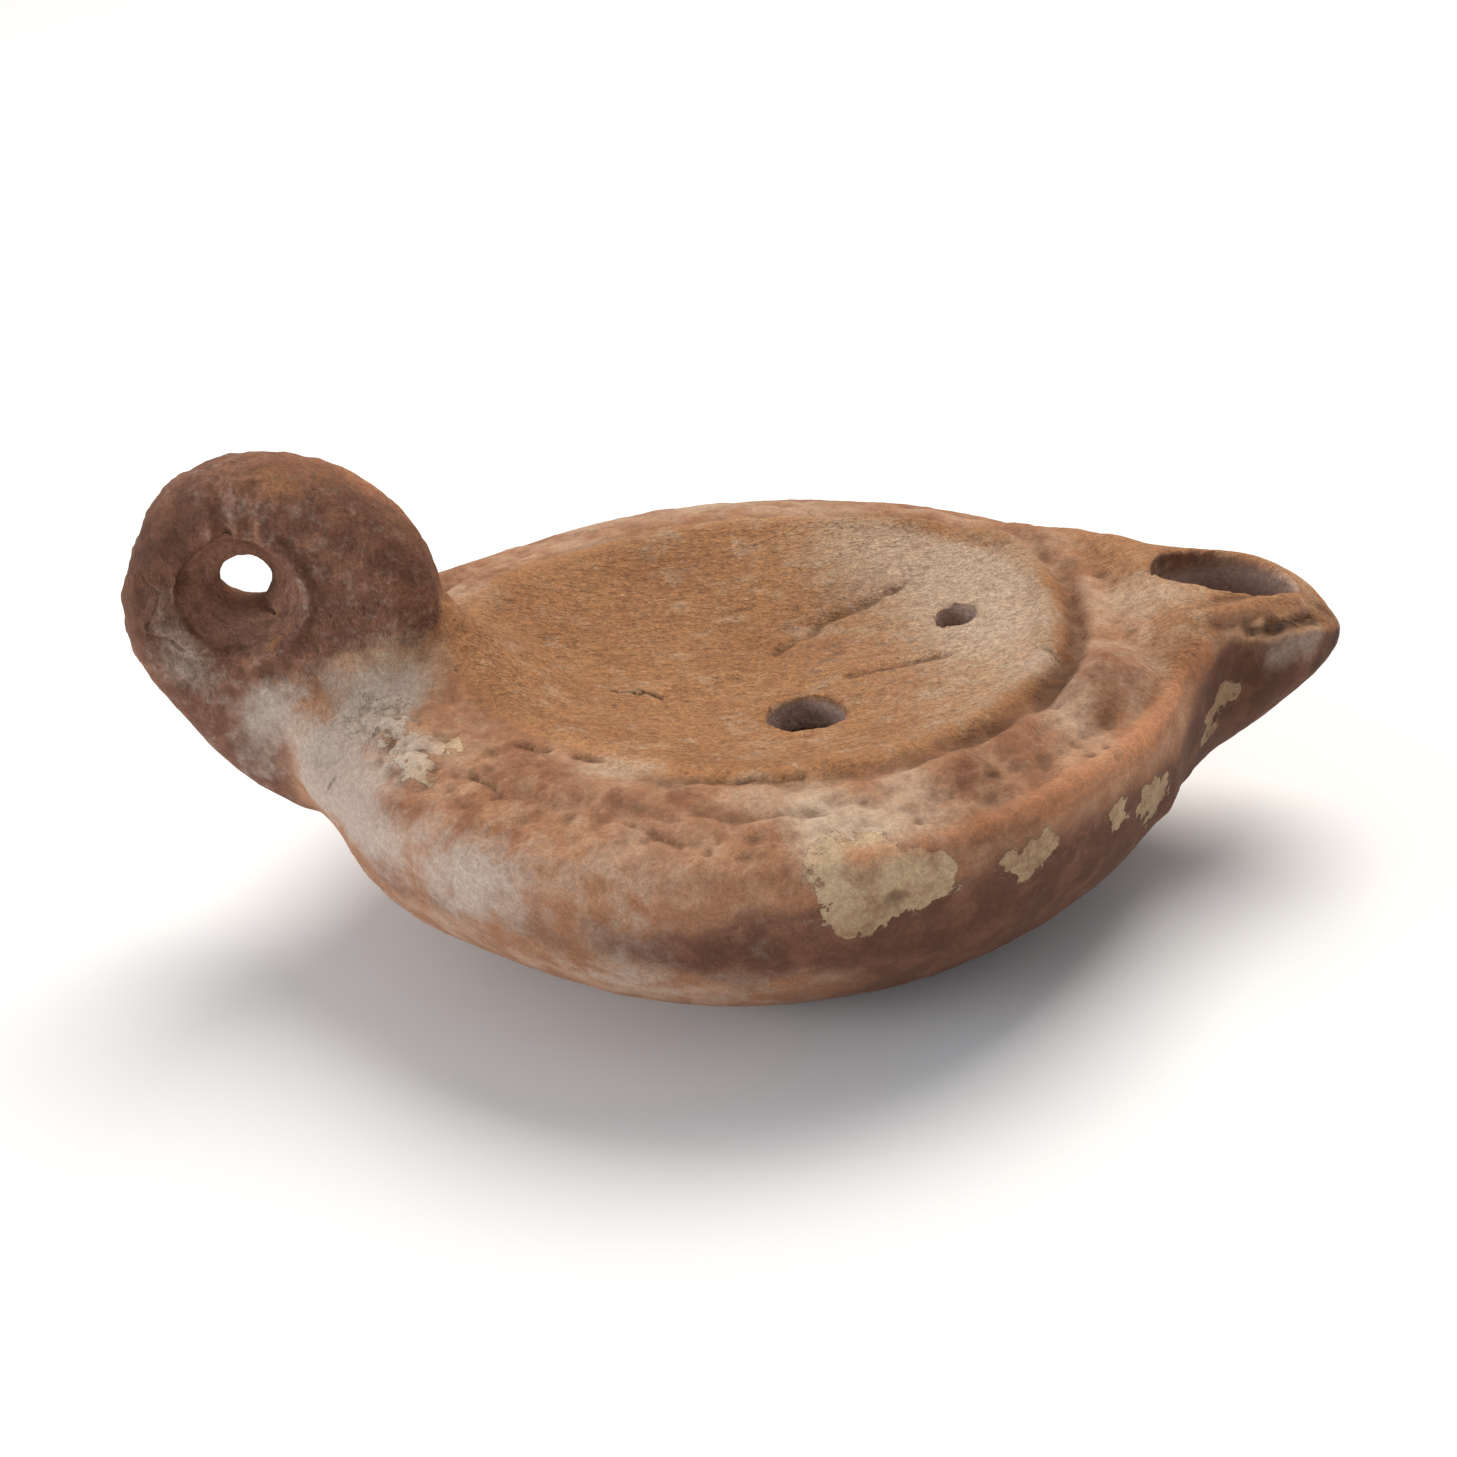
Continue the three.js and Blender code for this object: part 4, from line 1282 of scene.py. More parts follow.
        # Painted shade: the inside of the hollow, and the walls of the filling and air holes below their
        # mouths, take the dark coat.
        inner = smooth((away - 0.5) / 0.8)
        throat = np.zeros(len(p))
        hollow = self.hollow
        fx, fy, fr = hollow.filling
        ax, ay, ar = hollow.air
        wick = np.hypot(
            (p[:, 0] - hollow.wick_x) / (hollow.wick_length / 2.0 + 0.5),
            (p[:, 1] - hollow.wick_y) / (hollow.wick_width / 2.0 + 0.5),
        )
        for hx, hy, reach in ((fx, fy, fr + 0.5), (ax, ay, ar + 0.5)):
            at_hole = np.hypot(p[:, 0] - hx, (p[:, 1] - hy) / hollow.stretch) < reach
            depth = self.body.top_height(radius) - p[:, 2]
            inner = np.maximum(inner, at_hole * smooth((depth - 2.6) / 0.8))
            throat = np.maximum(throat, at_hole * smooth((depth - 0.3) / 0.5))
        mouth = (wick < 1.0) * smooth((22.6 - p[:, 2]) / 1.4)
        handle = self.handle
        hole = np.hypot(along - (handle.hole_x - handle.x), rise - (handle.hole_z - handle.height))
        bore = (p[:, 0] < -30.0) * (np.abs(through) < 4.6) * smooth((5.4 - hole) / 0.8) * (p[:, 2] > 26.0)

        uneven = self.grain.layered(p, 8.0, 3, 0.6)
        # Partly real slip and partly painted shade: the dark coat on the lower wall is about twice as strong
        # on the right, where that side stands in shade, and is mostly taken off the low left wall as a
        # painted lightening against the floor's contact shadow.
        right = step(p[:, 0], -12.0, 26.0)
        wall = step(p[:, 2] - 1.8 * right, 16.6, 8.0, Side.BELOW) * step(p[:, 0], 40.0, 8.0, Side.BELOW)
        under = step(p[:, 2], 12.0, 5.0, Side.BELOW) * (1.0 - 0.9 * step(p[:, 0], 0.0, 36.0))
        wall *= (0.48 + 0.52 * right) * (1.0 - 0.95 * under)
        # Painted shade: the nozzle's sides, where they face sideways and down, get the dark coat.
        nozzle_side_shade = 0.75 * step(p[:, 0], 33.0, 7.0) * step(n[:, 2], 0.3, 0.9, Side.BELOW)
        behind = step(p[:, 0], -25.0, 2.0, Side.BELOW)
        plate = step(p[:, 2] + 2.6 * uneven - 0.14 * (p[:, 0] + 38.0), 27.0, 7.0) * behind
        tail = 0.7 * step(p[:, 0] + uneven, -39.0, 4.0, Side.BELOW)
        # Painted shade: the handle's broad faces get the dark coat because of the way they face.
        face = plate * step(np.abs(n[:, 1]), 0.75, 0.5)
        slip_and_shade = np.maximum.reduce([wall, nozzle_side_shade, face, 0.6 * plate, tail]) + 0.2 * uneven
        slip_and_shade = np.clip(slip_and_shade, 0.0, 1.0)
        # Painted shade: the near lower wall is darkened towards the right, except at the bottom on the left.
        near_wall_shade = step(p[:, 2], 16.0, 10.0, Side.BELOW) * step(p[:, 1], -8.0, 8.0, Side.BELOW)
        stain_and_shade = marks(self.stains_and_shade, p) + 0.75 * near_wall_shade * step(p[:, 0], -22.0, 24.0) * (1.0 - under)
        # Painted shade: the right side of the handle's hole is darkened.
        stain_and_shade += 0.5 * bore * smooth(0.4 + (along - self.handle.hole_x + self.handle.x) / 4.0)
        from_lip = radius - self.body.worn_lip(angle)
        # Painted shade: a darker band in the groove just outside the lip on the near and right side, on faces
        # that look up.
        stain_and_shade += 0.42 * rib(from_lip - 2.0, 6.0) * around(angle, -30.0, 90.0) * step(n[:, 2], 0.5, 0.3)
        stain_and_shade = np.clip(stain_and_shade, 0.0, 1.0)
        streaks = band_streaks(self.grain, p + 40.0, 5.0, 3)
        bumps = step(from_lip, 3.0, 1.5) * step(p[:, 2], 20.2, 1.2) * (1.0 - plate)
        bumps *= 1.0 - 0.8 * step(p[:, 0], 33.0, 4.0)
        band = step(from_lip, 2.6, 2.4) * (1.0 - plate)
        band *= 1.0 - 0.8 * step(p[:, 0], 31.0, 6.0) * step(n[:, 2], 0.6, 0.3)
        rose = np.clip(band * (0.9 + 0.35 * self.grain.at(p + 13.0, 6.0)), 0.0, 1.0)
        # Painted highlight: a pale line of film along the raised edge round the handle hole's near mouth.
        edge = self.handle.mouth_edge(p)
        # Partly pale blotches and partly painted light: the film brightens the low wall on the left half
        # against the floor's contact shadow.
        skirt_film_and_painted_light = step(p[:, 2], 12.5, 5.0, Side.BELOW) * step(p[:, 0], 6.0, 30.0, Side.BELOW)
        creamy = step(p[:, 0], 12.0, 22.0) * step(radius, 26.0, 2.0, Side.BELOW) * step(n[:, 2], 0.6, 0.3)
        layers = {
            "slip_and_shade": slip_and_shade,
            "rose": rose,
            "chalk": marks(self.chalk, p) + 0.7 * creamy,
            "lime": marks(self.lime, p),
            "film": marks(self.film, p) + 0.4 * edge + 0.36 * skirt_film_and_painted_light,
            "soot_and_shade": marks(self.soot_and_shade, p),
            "painted_glint": np.clip(marks(self.painted_glint, p), 0.0, 1.0),
            "sunk": sunk[near] * (1.0 - smooth((away - 0.3) / 0.4)),
            "proud": proud[near] * (1.0 - smooth((away - 0.3) / 0.4)),
            "inside": np.clip(np.maximum(inner, 0.0), 0.0, 1.0),
            "mouth": np.maximum(mouth, throat),
            "bore": bore,
            "discus": np.maximum(step(from_lip, 1.0, 2.5, Side.BELOW), 0.7 * step(p[:, 0], 31.0, 4.0))
            * step(n[:, 2], 0.6, 0.3)
            * step(p[:, 2], 18.0, 1.0),
            "rust": np.clip(bumps * smooth((streaks + 0.1) / 0.8) + marks(self.rust, p), 0.0, 1.0),
            "pale": bumps * smooth((-streaks - 0.05) / 0.7),
            "stain_and_shade": stain_and_shade,
        }
        for name, values in layers.items():
            attribute = piece.data.attributes.new(name, "FLOAT", "POINT")
            attribute.data.foreach_set("value", values.astype(np.float32))


class NodeSheet:
    """A material's node tree, laid out in the order in which it is written."""

    def __init__(self, name: str) -> None:
        """Makes an empty material with its output and its millimetre coordinates."""
        self.material = bpy.data.materials.new(name)
        self.material.use_nodes = True
        self.tree = self.material.node_tree
        self.tree.nodes.clear()
        self.placed = 0
        self.attributes: dict[str, Socket] = {}
        self.output = self.add("ShaderNodeOutputMaterial")
        coords = self.add("ShaderNodeTexCoord")
        scale = self.add("ShaderNodeMapping")
        scale.inputs["Scale"].default_value = (1.0 / MM, 1.0 / MM, 1.0 / MM)
        self.tree.links.new(coords.outputs["Object"], scale.inputs["Vector"])
        self.place = scale.outputs["Vector"]

    def add(self, kind: str) -> bpy.types.Node:
        """Adds a node beside the last one."""
        node = self.tree.nodes.new(kind)
        node.location = (220.0 * (self.placed % 12), -260.0 * (self.placed // 12))
        self.placed += 1
        return node

    def feed(self, socket: Socket, value: object) -> None:
        """Links a socket, or sets it where the value is a number or a colour."""
        if isinstance(value, bpy.types.NodeSocket):
            self.tree.links.new(value, socket)
        elif isinstance(value, tuple) and len(value) == 3 and socket.type == "RGBA":
            socket.default_value = (*value, 1.0)
        else:
            socket.default_value = value

    def painted(self, name: str) -> Socket:
        """The value of one of the mesh's attributes."""
        if name not in self.attributes:
            node = self.add("ShaderNodeAttribute")
            node.attribute_name = name
            self.attributes[name] = node.outputs["Fac"]
        return self.attributes[name]

    def noise(
        self, size: float, detail: float = 3.0, rough: float = 0.55, bend: float = 0.0, across: float = 1.0
    ) -> Socket:
        """Noise whose features are about a size in millimetres, and narrower across the lamp by a factor."""
        node = self.add("ShaderNodeTexNoise")
        squeezed = self.add("ShaderNodeVectorMath")
        squeezed.operation = "MULTIPLY"
        self.feed(squeezed.inputs[0], self.place)
        squeezed.inputs[1].default_value = (1.0, across, 1.0)
        self.feed(node.inputs["Vector"], squeezed.outputs["Vector"])
        node.inputs["Scale"].default_value = 1.0 / size
        node.inputs["Detail"].default_value = detail
        node.inputs["Roughness"].default_value = rough
        node.inputs["Distortion"].default_value = bend
        return node.outputs["Fac"]

    def grit(self, size: float, channel: int, near: float, far: float, rare: float) -> Socket:
        """Scattered round grains.

        Args:
            size: Distance between the places where a grain may lie, in millimetres.
            channel: The colour channel that tells which of them have one.
            near: Where a grain is full, as a share of the distance between the places.
            far: Where it has faded out.
            rare: Share of the places that stay empty.

        Returns:
            1 on a grain and 0 beside it.
        """
        node = self.add("ShaderNodeTexVoronoi")
        self.feed(node.inputs["Vector"], self.place)
        node.inputs["Scale"].default_value = 1.0 / size
        sort = self.add("ShaderNodeSeparateColor")
        self.feed(sort.inputs["Color"], node.outputs["Color"])
        grain = self.ramp(node.outputs["Distance"], near, far, 1.0, 0.0)
        return self.times(grain, self.ramp(sort.outputs[channel], rare, rare + 0.02))

    def sum(self, operation: str, first: object, last: object) -> Socket:
        """Arithmetic on two values."""
        node = self.add("ShaderNodeMath")
        node.operation = operation
        self.feed(node.inputs[0], first)
        self.feed(node.inputs[1], last)
        return node.outputs["Value"]

    def times(self, first: object, last: object) -> Socket:
        """One value times another."""
        return self.sum("MULTIPLY", first, last)

    def plus(self, first: object, last: object) -> Socket:
        """One value and another."""
        return self.sum("ADD", first, last)

    def less(self, first: object, last: object) -> Socket:
        """One value less another."""
        return self.sum("SUBTRACT", first, last)

    def broken(self, mask: Socket, noise: Socket, amount: float) -> Socket:
        """A mask whose edge is broken up by a noise."""
        return self.plus(mask, self.times(self.less(noise, 0.5), amount))

    def lay(self, under: object, over: object, mask: object, share: object) -> Socket:
        """One colour laid over another where a mask says, at a share of its strength."""
        return self.mix(self.times(mask, share), under, over)

    def ramp(self, value: object, low: float, high: float, start: float = 0.0, end: float = 1.0) -> Socket:
        """A value brought smoothly from one range to another, and held at its ends."""
        node = self.add("ShaderNodeMapRange")
        node.interpolation_type = "SMOOTHSTEP"
        self.feed(node.inputs["Value"], value)
        for name, number in zip(("From Min", "From Max", "To Min", "To Max"), (low, high, start, end)):
            node.inputs[name].default_value = number
        return node.outputs["Result"]

    def mix(self, share: object, under: object, over: object, blend: str = "MIX") -> Socket:
        """One colour laid over another."""
        node = self.add("ShaderNodeMix")
        node.data_type = "RGBA"
        node.blend_type = blend
        self.feed(node.inputs[0], share)
        self.feed(node.inputs[6], under)
        self.feed(node.inputs[7], over)
        return node.outputs[2]


class ClayNoise:
    """The noises that the layers of the clay finish share, by size in millimetres."""

    def __init__(self, sheet: NodeSheet) -> None:
        """Adds the noises to the sheet."""
        self.fibres = sheet.noise(1.7, 4.0, 0.65, 0.5, 2.2)
        self.flecks = sheet.noise(0.75, 3.0, 0.6, 0.3, 2.6)
        self.streaky = sheet.noise(2.4, 4.0, 0.6, 0.6)
        self.cloud = sheet.noise(11.0, 4.0, 0.6)
        self.patch = sheet.noise(3.2, 4.0, 0.62, 0.4)
        self.blotch = sheet.noise(1.1, 4.0, 0.65)
        self.grain = sheet.noise(0.42, 3.0, 0.7)
        self.dust = sheet.noise(0.16, 2.0, 0.6)


@dataclass(frozen=True)
class FiredClay:
    """The finish of unglazed, porous fired clay with its patina, painted shade and painted highlights."""

    buff: Colour = (0.34, 0.152, 0.062)
    sand: Colour = (0.43, 0.225, 0.10)
    deep: Colour = (0.21, 0.085, 0.033)
    rose: Colour = (0.33, 0.155, 0.083)
    rose_pale: Colour = (0.42, 0.235, 0.14)
    rust: Colour = (0.19, 0.075, 0.036)
    chalk: Colour = (0.50, 0.36, 0.25)
    lime: Colour = (0.52, 0.37, 0.225)
    lime_brown: Colour = (0.36, 0.215, 0.12)
    lime_edge_shadow: Colour = (0.17, 0.09, 0.05)
    film: Colour = (0.44, 0.36, 0.305)
    slip_and_shade: Colour = (0.15, 0.065, 0.040)
    slip_and_shade_pale: Colour = (0.23, 0.105, 0.062)
    painted_glint: Colour = (0.475, 0.20, 0.094)
    soot_and_shade: Colour = (0.045, 0.026, 0.016)
    mauve: Colour = (0.46, 0.31, 0.25)
    bore_clay: Colour = (0.35, 0.18, 0.12)
    dirt: Colour = (0.10, 0.048, 0.024)
    dusty: Colour = (0.46, 0.285, 0.185)
    red_clay: Colour = (0.33, 0.125, 0.05)
    fleck: Colour = (0.17, 0.075, 0.035)
    pale_fibre: Colour = (0.54, 0.31, 0.165)
    stain_and_shade: Colour = (0.46, 0.38, 0.32)
    roughness: float = 0.88
    roughness_spread: float = 0.08
    shine: float = 0.28
    grain_depth: float = 0.16
    dust_depth: float = 0.05
    blotch_depth: float = 0.16
    pin_depth: float = 0.1
    crust_depth: float = 0.1
    fibre_depth: float = 0.5
    fleck_depth: float = 0.25

    def build(self) -> bpy.types.Material:
        """Builds the node tree of the finish.

        Returns:
            The material for the whole lamp.
        """
        s = NodeSheet("terracotta")
        n = ClayNoise(s)
        discus, rose = s.painted("discus"), s.painted("rose")
        base = self.slip_shade_and_chalk(s, n, self.bare_clay(s, n))
        base, crust = self.deposits(s, n, base)
        base = self.soiling(s, n, base)

        open_clay = s.sum("MAXIMUM", discus, s.times(s.less(1.0, rose), 0.8))
        shown = s.plus(s.times(open_clay, 0.85), 0.15)
        pale_grit = s.times(s.grit(1.25, 0, 0.10, 0.2, 0.72), shown)
        pin = s.times(s.grit(0.9, 1, 0.12, 0.26, 0.74), shown)
        base = s.lay(base, self.chalk, s.times(pale_grit, discus), 0.35)
        base = s.lay(base, self.dirt, pin, 0.3)
        rough_skin = s.plus(s.times(open_clay, 0.45), 0.55)
        base = self.speckled(s, n, base, rough_skin)

        height = s.plus(s.times(n.grain, self.grain_depth), s.times(n.dust, self.dust_depth))
        height = s.times(s.plus(height, s.times(n.blotch, self.blotch_depth)), rough_skin)
        height = s.less(height, s.times(pin, self.pin_depth))
        height = s.plus(height, s.times(crust, self.crust_depth))
        height = s.less(height, s.times(s.times(n.fibres, discus), self.fibre_depth))
        height = s.less(height, s.times(s.times(n.flecks, discus), self.fleck_depth))
        bump = s.add("ShaderNodeBump")
        bump.inputs["Strength"].default_value = 1.0
        bump.inputs["Distance"].default_value = MM
        s.feed(bump.inputs["Height"], height)

        smoothest, roughest = self.roughness - self.roughness_spread, self.roughness + self.roughness_spread
        shader = s.add("ShaderNodeBsdfPrincipled")
        s.feed(shader.inputs["Base Color"], base)
        s.feed(shader.inputs["Roughness"], s.ramp(n.grain, 0.3, 0.7, smoothest, roughest))
        shader.inputs["Specular IOR Level"].default_value = self.shine
        s.feed(shader.inputs["Normal"], bump.outputs["Normal"])
        s.feed(s.output.inputs["Surface"], shader.outputs["BSDF"])
        return s.material

    def bare_clay(self, s: NodeSheet, n: ClayNoise) -> Socket:
        """The clay itself: buff on the disc, pinkish on the shoulder, rusty where the work is worn."""
        base = s.mix(s.ramp(n.cloud, 0.35, 0.65), self.buff, self.sand)
        base = s.mix(s.ramp(n.blotch, 0.5, 0.68, 0.0, 0.6), base, self.deep)
        base = s.mix(s.ramp(n.patch, 0.52, 0.7, 0.0, 0.45), base, self.chalk)
        fired_red = s.plus(n.cloud, s.times(n.patch, -0.6))
        base = s.mix(s.ramp(fired_red, 0.16, 0.34, 0.0, 0.4), base, self.red_clay)
        pink = s.mix(s.ramp(n.patch, 0.4, 0.62), self.rose, self.rose_pale)
        base = s.mix(s.painted("rose"), base, pink)
        base = s.lay(base, self.dusty, s.painted("pale"), s.ramp(n.patch, 0.35, 0.6, 0.3, 0.9))
        streaks = s.ramp(s.plus(n.streaky, s.times(s.painted("proud"), 0.1)), 0.3, 0.7)
        return s.lay(base, self.rust, s.times(s.painted("rust"), streaks), 0.85)

    def slip_shade_and_chalk(self, s: NodeSheet, n: ClayNoise, base: Socket) -> Socket:
        """The dark coat, partly real slip and partly painted shade, with its dusting, the chalky places, and
        the burnt edges of the holes.
        """
        slip_and_shade_tone = s.mix(s.ramp(n.patch, 0.42, 0.66), self.slip_and_shade, self.slip_and_shade_pale)
        clear_of_stain_and_shade = s.ramp(s.painted("stain_and_shade"), 0.0, 0.6, 1.0, 0.0)
        slip_and_shade_tone = s.lay(slip_and_shade_tone, self.film, s.ramp(n.blotch, 0.5, 0.66, 0.0, 0.15), clear_of_stain_and_shade)
        # The dark coat: partly real slip, partly painted shade.
        base = s.mix(s.ramp(s.broken(s.painted("slip_and_shade"), n.patch, 0.7), 0.25, 0.7), base, slip_and_shade_tone)
        base = s.mix(s.ramp(s.broken(s.painted("chalk"), n.blotch, 1.2), 0.0, 1.25), base, self.chalk)
        return s.mix(s.painted("mouth"), base, self.mauve)

    def deposits(self, s: NodeSheet, n: ClayNoise, base: Socket) -> tuple[Socket, Socket]:
        """The pale film and the jagged patches of lime with a painted shadow round their edge, and where the
        lime stands proud.
        """
        film, lime = s.painted("film"), s.painted("lime")
        cloudy = s.times(s.less(s.plus(n.patch, s.times(n.blotch, 0.6)), 0.8), 0.9)
        haze = s.ramp(s.plus(film, s.times(cloudy, s.ramp(film, 0.0, 0.3))), 0.2, 0.95)
        base = s.lay(base, self.film, haze, 0.8)
        torn = s.plus(s.times(n.patch, 0.65), s.times(n.blotch, 0.35))
        ragged = s.times(s.less(torn, 0.5), 3.6)
        jagged = s.plus(lime, s.times(ragged, s.ramp(lime, 0.0, 0.25)))
        crust = s.ramp(jagged, 0.44, 0.54)
        # Painted shadow: a dark ring just outside each lime patch, where the raised crust would shade the
        # clay.
        base = s.lay(base, self.lime_edge_shadow, s.ramp(jagged, 0.34, 0.44), 0.14)
        crust_tone = s.mix(s.ramp(n.streaky, 0.45, 0.68), self.lime, self.lime_brown)
        crust_tone = s.mix(s.ramp(film, 0.1, 0.6, 0.0, 0.75), crust_tone, self.film)
        return s.lay(base, crust_tone, crust, 0.88), crust

    def soiling(self, s: NodeSheet, n: ClayNoise, base: Socket) -> Socket:
        """Painted warm glints on lit edges, soot with painted shadow in grooves, dirt in the hollows, straw
        marks on the disc, stains with painted shade, and painted shade over the inside.
        """
        discus = s.painted("discus")
        base = s.lay(base, self.bore_clay, s.painted("bore"), 0.8)
        # Painted highlight: warm glints on lit edges.
        base = s.lay(base, self.painted_glint, s.painted("painted_glint"), s.ramp(n.patch, 0.3, 0.6, 0.35, 0.9))
        # Soot, with painted shadow in the disc's grooves and the nozzle's dent.
        base = s.mix(s.ramp(s.broken(s.painted("soot_and_shade"), n.patch, 0.9), 0.3, 0.8), base, self.soot_and_shade)
        base = s.lay(base, self.dirt, s.painted("sunk"), 0.62)
        base = s.lay(base, self.fleck, discus, s.ramp(n.flecks, 0.6, 0.7, 0.0, 0.4))
        base = s.lay(base, self.deep, discus, s.ramp(n.fibres, 0.53, 0.8, 0.0, 0.3))
        base = s.lay(base, self.pale_fibre, discus, s.ramp(n.fibres, 0.46, 0.28, 0.0, 0.4))
        # Multiplies in real stains and painted shade.
        base = s.mix(s.painted("stain_and_shade"), base, self.stain_and_shade, "MULTIPLY")
        # Painted shade: the dark coat laid over the inside of the hollow and deep in the holes.
        return s.lay(base, self.slip_and_shade, s.painted("inside"), 0.8)

    def speckled(self, s: NodeSheet, n: ClayNoise, base: Socket, rough_skin: Socket) -> Socket:
        """The colour made lighter and darker grain by grain, most where the clay is open."""
        grains = s.plus(1.0, s.times(s.ramp(n.grain, 0.28, 0.72, -0.26, 0.3), rough_skin))
        motes = s.plus(1.0, s.times(s.ramp(n.dust, 0.3, 0.7, -0.16, 0.16), rough_skin))
        tone = s.add("ShaderNodeCombineColor")
        speckle = s.times(grains, motes)
        for number in range(3):
            s.feed(tone.inputs[number], speckle)
        return s.mix(1.0, base, tone.outputs["Color"], "MULTIPLY")


@dataclass
class OilLamp:
    """The whole lamp, from its forms to the dressed mesh."""

    voxel: float = 0.40
    kept_share: float = 0.70
    crease_rounds: int = 150
    rim_rounds: int = 60
    sharp_angle: float = math.radians(60.0)
    seed: int = 1907
    body: BodyForm = field(default_factory=BodyForm)

    def __post_init__(self) -> None:
        """Sets up the parts that depend on the body."""
        self.grain = Grain(self.seed)
        self.nozzle = NozzleForm(self.body)
        self.handle = HandleForm(self.body)
        self.hollow = Hollow(self.body, self.nozzle, self.grain)
        self.wear = Wear(self.body, self.handle, self.hollow, LeafWreath(self.body), self.grain)
        self.patina = Patina(self.body, self.handle, self.hollow, self.grain)

    def outside(self) -> bpy.types.Object:
        """Joins the outer forms, punches the holes, and draws one even skin over them."""
        lamp = self.body.build()
        for form in (
            self.nozzle.build(self.nozzle.root, self.nozzle.tip, 0.0),
            self.handle.build(),
            self.handle.build_foot(),
        ):
            combine(lamp, form, "UNION")
        for cutter in (*self.hollow.punches(), self.handle.build_hole()):
            combine(lamp, cutter, "DIFFERENCE")
        finish_modifier(lamp, "REMESH", mode="VOXEL", voxel_size=self.voxel, adaptivity=0.0)
        self.thin_out(lamp)
        return lamp

    def thin_out(self, lamp: bpy.types.Object) -> None:
        """Makes the mesh coarser on the smooth lower wall and underside, which need fewer faces."""
        p = points_of(lamp)
        plain = step(p[:, 2], 15.0, 6.0, Side.BELOW)
        group = lamp.vertex_groups.new(name="plain")
        for level in (0.0, 0.25, 0.5, 0.75, 1.0):
            chosen = np.flatnonzero(np.rint(plain * 4.0) / 4.0 == level)
            group.add(chosen.tolist(), level, "REPLACE")
        settings = {"vertex_group": group.name, "vertex_group_factor": 1.0}
        finish_modifier(lamp, "DECIMATE", ratio=self.kept_share, **settings)
        lamp.vertex_groups.clear()

    def soften(self, skin: Skin) -> None:
        """Rounds the joints of handle and nozzle with the body, as wet clay is smoothed by a finger."""
        p = skin.points
        root = step(p[:, 0], -22.0, 4.0, Side.BELOW) * step(p[:, 2], 33.0, 4.0, Side.BELOW)
        neck = step(p[:, 0], 27.5, 4.0) * step(p[:, 2], 22.0, 3.0, Side.BELOW) * step(p[:, 2], 3.0, 2.0)
        shelf = step(p[:, 0], 28.0, 4.0) * step(skin.normals[:, 2], 0.5, 0.3)
        wick = np.hypot(p[:, 0] - self.hollow.wick_x, p[:, 1] - self.hollow.wick_y)
        shelf *= step(wick, 8.5, 1.5)
        skin.fill_creases(np.clip(root + neck + shelf, 0.0, 1.0), self.crease_rounds)
        angle = np.degrees(np.arctan2(p[:, 1], p[:, 0]))
        rim = 1.0 - smooth(np.abs(p[:, 2] - self.body.rim_height) / 5.0)
        rim *= 1.0 - 0.75 * around(angle, -48.0, 34.0)
        rim *= step(np.hypot(p[:, 0], p[:, 1]), 30.0, 3.0) * step(p[:, 0], 34.0, 6.0, Side.BELOW)
        skin.rub_down(rim, self.rim_rounds)

    def build(self) -> bpy.types.Object:
        """Builds, wears, hollows, paints and dresses the lamp.

        Returns:
            The finished object, in metres.
        """
        lamp = self.outside()
        self.soften(Skin(lamp))
        for _ in range(2):
            refine(lamp, self.wear.fine_places(points_of(lamp)))
        skin = Skin(lamp)
        LOG.info("outer skin: %d points", skin.count)
        relief = self.wear.run(skin)
        combine(lamp, self.hollow.build_chamber(), "DIFFERENCE")
        combine(lamp, self.hollow.build_channel(), "DIFFERENCE")
        self.patina.paint(lamp, skin, relief)
        lamp.data.transform(Matrix.Scale(MM, 4))
        take_up(lamp)
        bpy.ops.object.shade_smooth_by_angle(angle=self.sharp_angle)
        lamp.name = lamp.data.name = "fired_clay_lamp"
        lamp.data.materials.clear()
        lamp.data.materials.append(FiredClay().build())
        return lamp


@dataclass(frozen=True)
class Light:
    """A soft panel of light, in metres and watts."""

    name: str
    place: tuple[float, float, float]
    size: float
    power: float
    colour: Colour


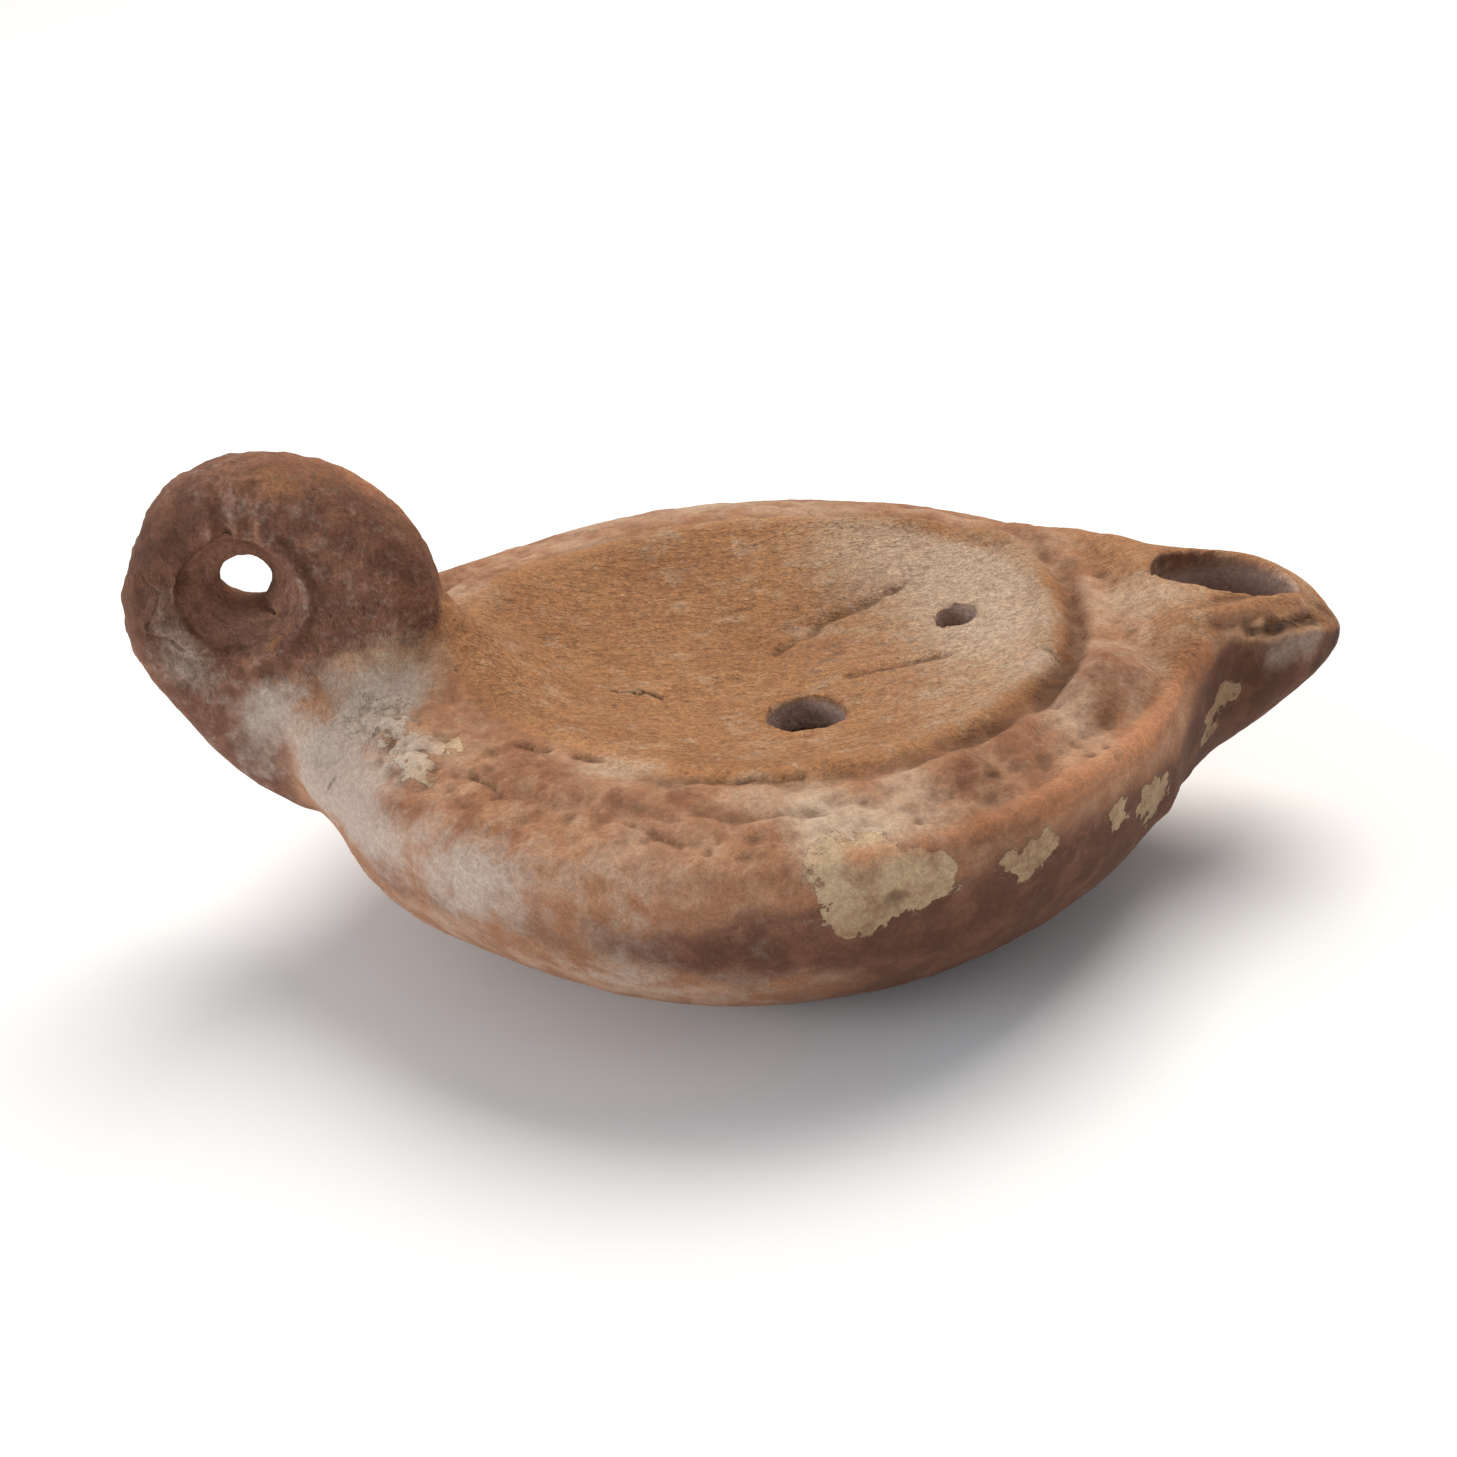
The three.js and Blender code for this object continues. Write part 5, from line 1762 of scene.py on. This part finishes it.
@dataclass
class Studio:
    """The pale floor, the soft lights and the camera."""

    azimuth: float = 4.5
    elevation: float = 26.74
    distance: float = 196.22
    focal_pixels: float = 2252.72
    image_pixels: float = 1457.0
    roll: float = -4.78
    look_at: tuple[float, float, float] = (-2.58, 0.0, 14.39)
    sensor: float = 36.0
    floor_size: float = 6.0
    floor_tone: Colour = (0.90, 0.90, 0.90)
    floor_roughness: float = 0.9
    floor_shine: float = 0.1
    lit_height: float = 0.02
    nearest: float = 0.01
    furthest: float = 20.0
    sky_tone: Colour = (0.93, 0.96, 1.0)
    sky_power: float = 0.42
    lights: tuple[Light, ...] = (
        Light("key", (0.32, 0.40, 0.95), 0.85, 12.5, (1.0, 0.94, 0.86)),
        Light("fill", (-0.52, -0.17, 0.14), 0.26, 1.7, (0.88, 0.94, 1.0)),
    )

    def build(self) -> None:
        """Lays the floor, sets the lights and places the camera."""
        start_fresh()
        bpy.ops.mesh.primitive_plane_add(size=self.floor_size, location=ORIGIN)
        floor = bpy.context.object
        floor.name = "floor"
        sheet = NodeSheet("pale_floor")
        shader = sheet.add("ShaderNodeBsdfPrincipled")
        shader.inputs["Base Color"].default_value = (*self.floor_tone, 1.0)
        shader.inputs["Roughness"].default_value = self.floor_roughness
        shader.inputs["Specular IOR Level"].default_value = self.floor_shine
        sheet.feed(sheet.output.inputs["Surface"], shader.outputs["BSDF"])
        floor.data.materials.append(sheet.material)
        world = bpy.data.worlds.new("soft_sky")
        world.use_nodes = True
        sky = world.node_tree.nodes["Background"]
        sky.inputs["Color"].default_value = (*self.sky_tone, 1.0)
        sky.inputs["Strength"].default_value = self.sky_power
        bpy.context.scene.world = world
        for light in self.lights:
            self.hang(light)
        self.place_camera()
        bpy.context.scene.view_settings.view_transform = "Standard"

    def hang(self, light: Light) -> None:
        """Hangs one panel of light, facing the lamp."""
        start_fresh()
        bpy.ops.object.light_add(type="AREA", location=light.place)
        lamp = bpy.context.object
        lamp.name = light.name
        lamp.data.size = light.size
        lamp.data.energy = light.power
        lamp.data.color = light.colour
        towards = Vector((0.0, 0.0, self.lit_height)) - Vector(light.place)
        lamp.rotation_euler = towards.to_track_quat("-Z", "Y").to_euler()

    def place_camera(self) -> None:
        """Places the camera at the photograph's angle."""
        start_fresh()
        turn, height, roll = (math.radians(v) for v in (self.azimuth, self.elevation, self.roll))
        out = math.cos(height)
        back = Vector((-math.sin(turn) * out, -math.cos(turn) * out, math.sin(height)))
        right = (-back).cross(Vector((0.0, 0.0, 1.0))).normalized()
        up = right.cross(-back)
        level_right, level_up = right.copy(), up.copy()
        right = math.cos(roll) * level_right + math.sin(roll) * level_up
        up = math.cos(roll) * level_up - math.sin(roll) * level_right
        bpy.ops.object.camera_add()
        camera = bpy.context.object
        camera.data.sensor_width = self.sensor
        camera.data.lens = self.sensor * self.focal_pixels / self.image_pixels
        camera.data.clip_start = self.nearest
        camera.data.clip_end = self.furthest
        place = (Vector(self.look_at) + back * self.distance) * MM
        columns = Matrix((right, up, back)).transposed()
        camera.matrix_world = Matrix.Translation(place) @ columns.to_4x4()
        bpy.context.scene.camera = camera


def main() -> None:
    """Builds the studio and the lamp, and reports each."""
    logging.basicConfig(level=logging.INFO, format="%(name)s: %(message)s")
    Studio().build()
    LOG.info("studio: floor, lights and camera")
    lamp = OilLamp().build()
    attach(lamp, "root")
    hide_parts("lamp")
    triangles = sum(len(face.vertices) - 2 for face in lamp.data.polygons)
    LOG.info("%s: %d triangles", lamp.name, triangles)


if __name__ == "__main__":
    main()
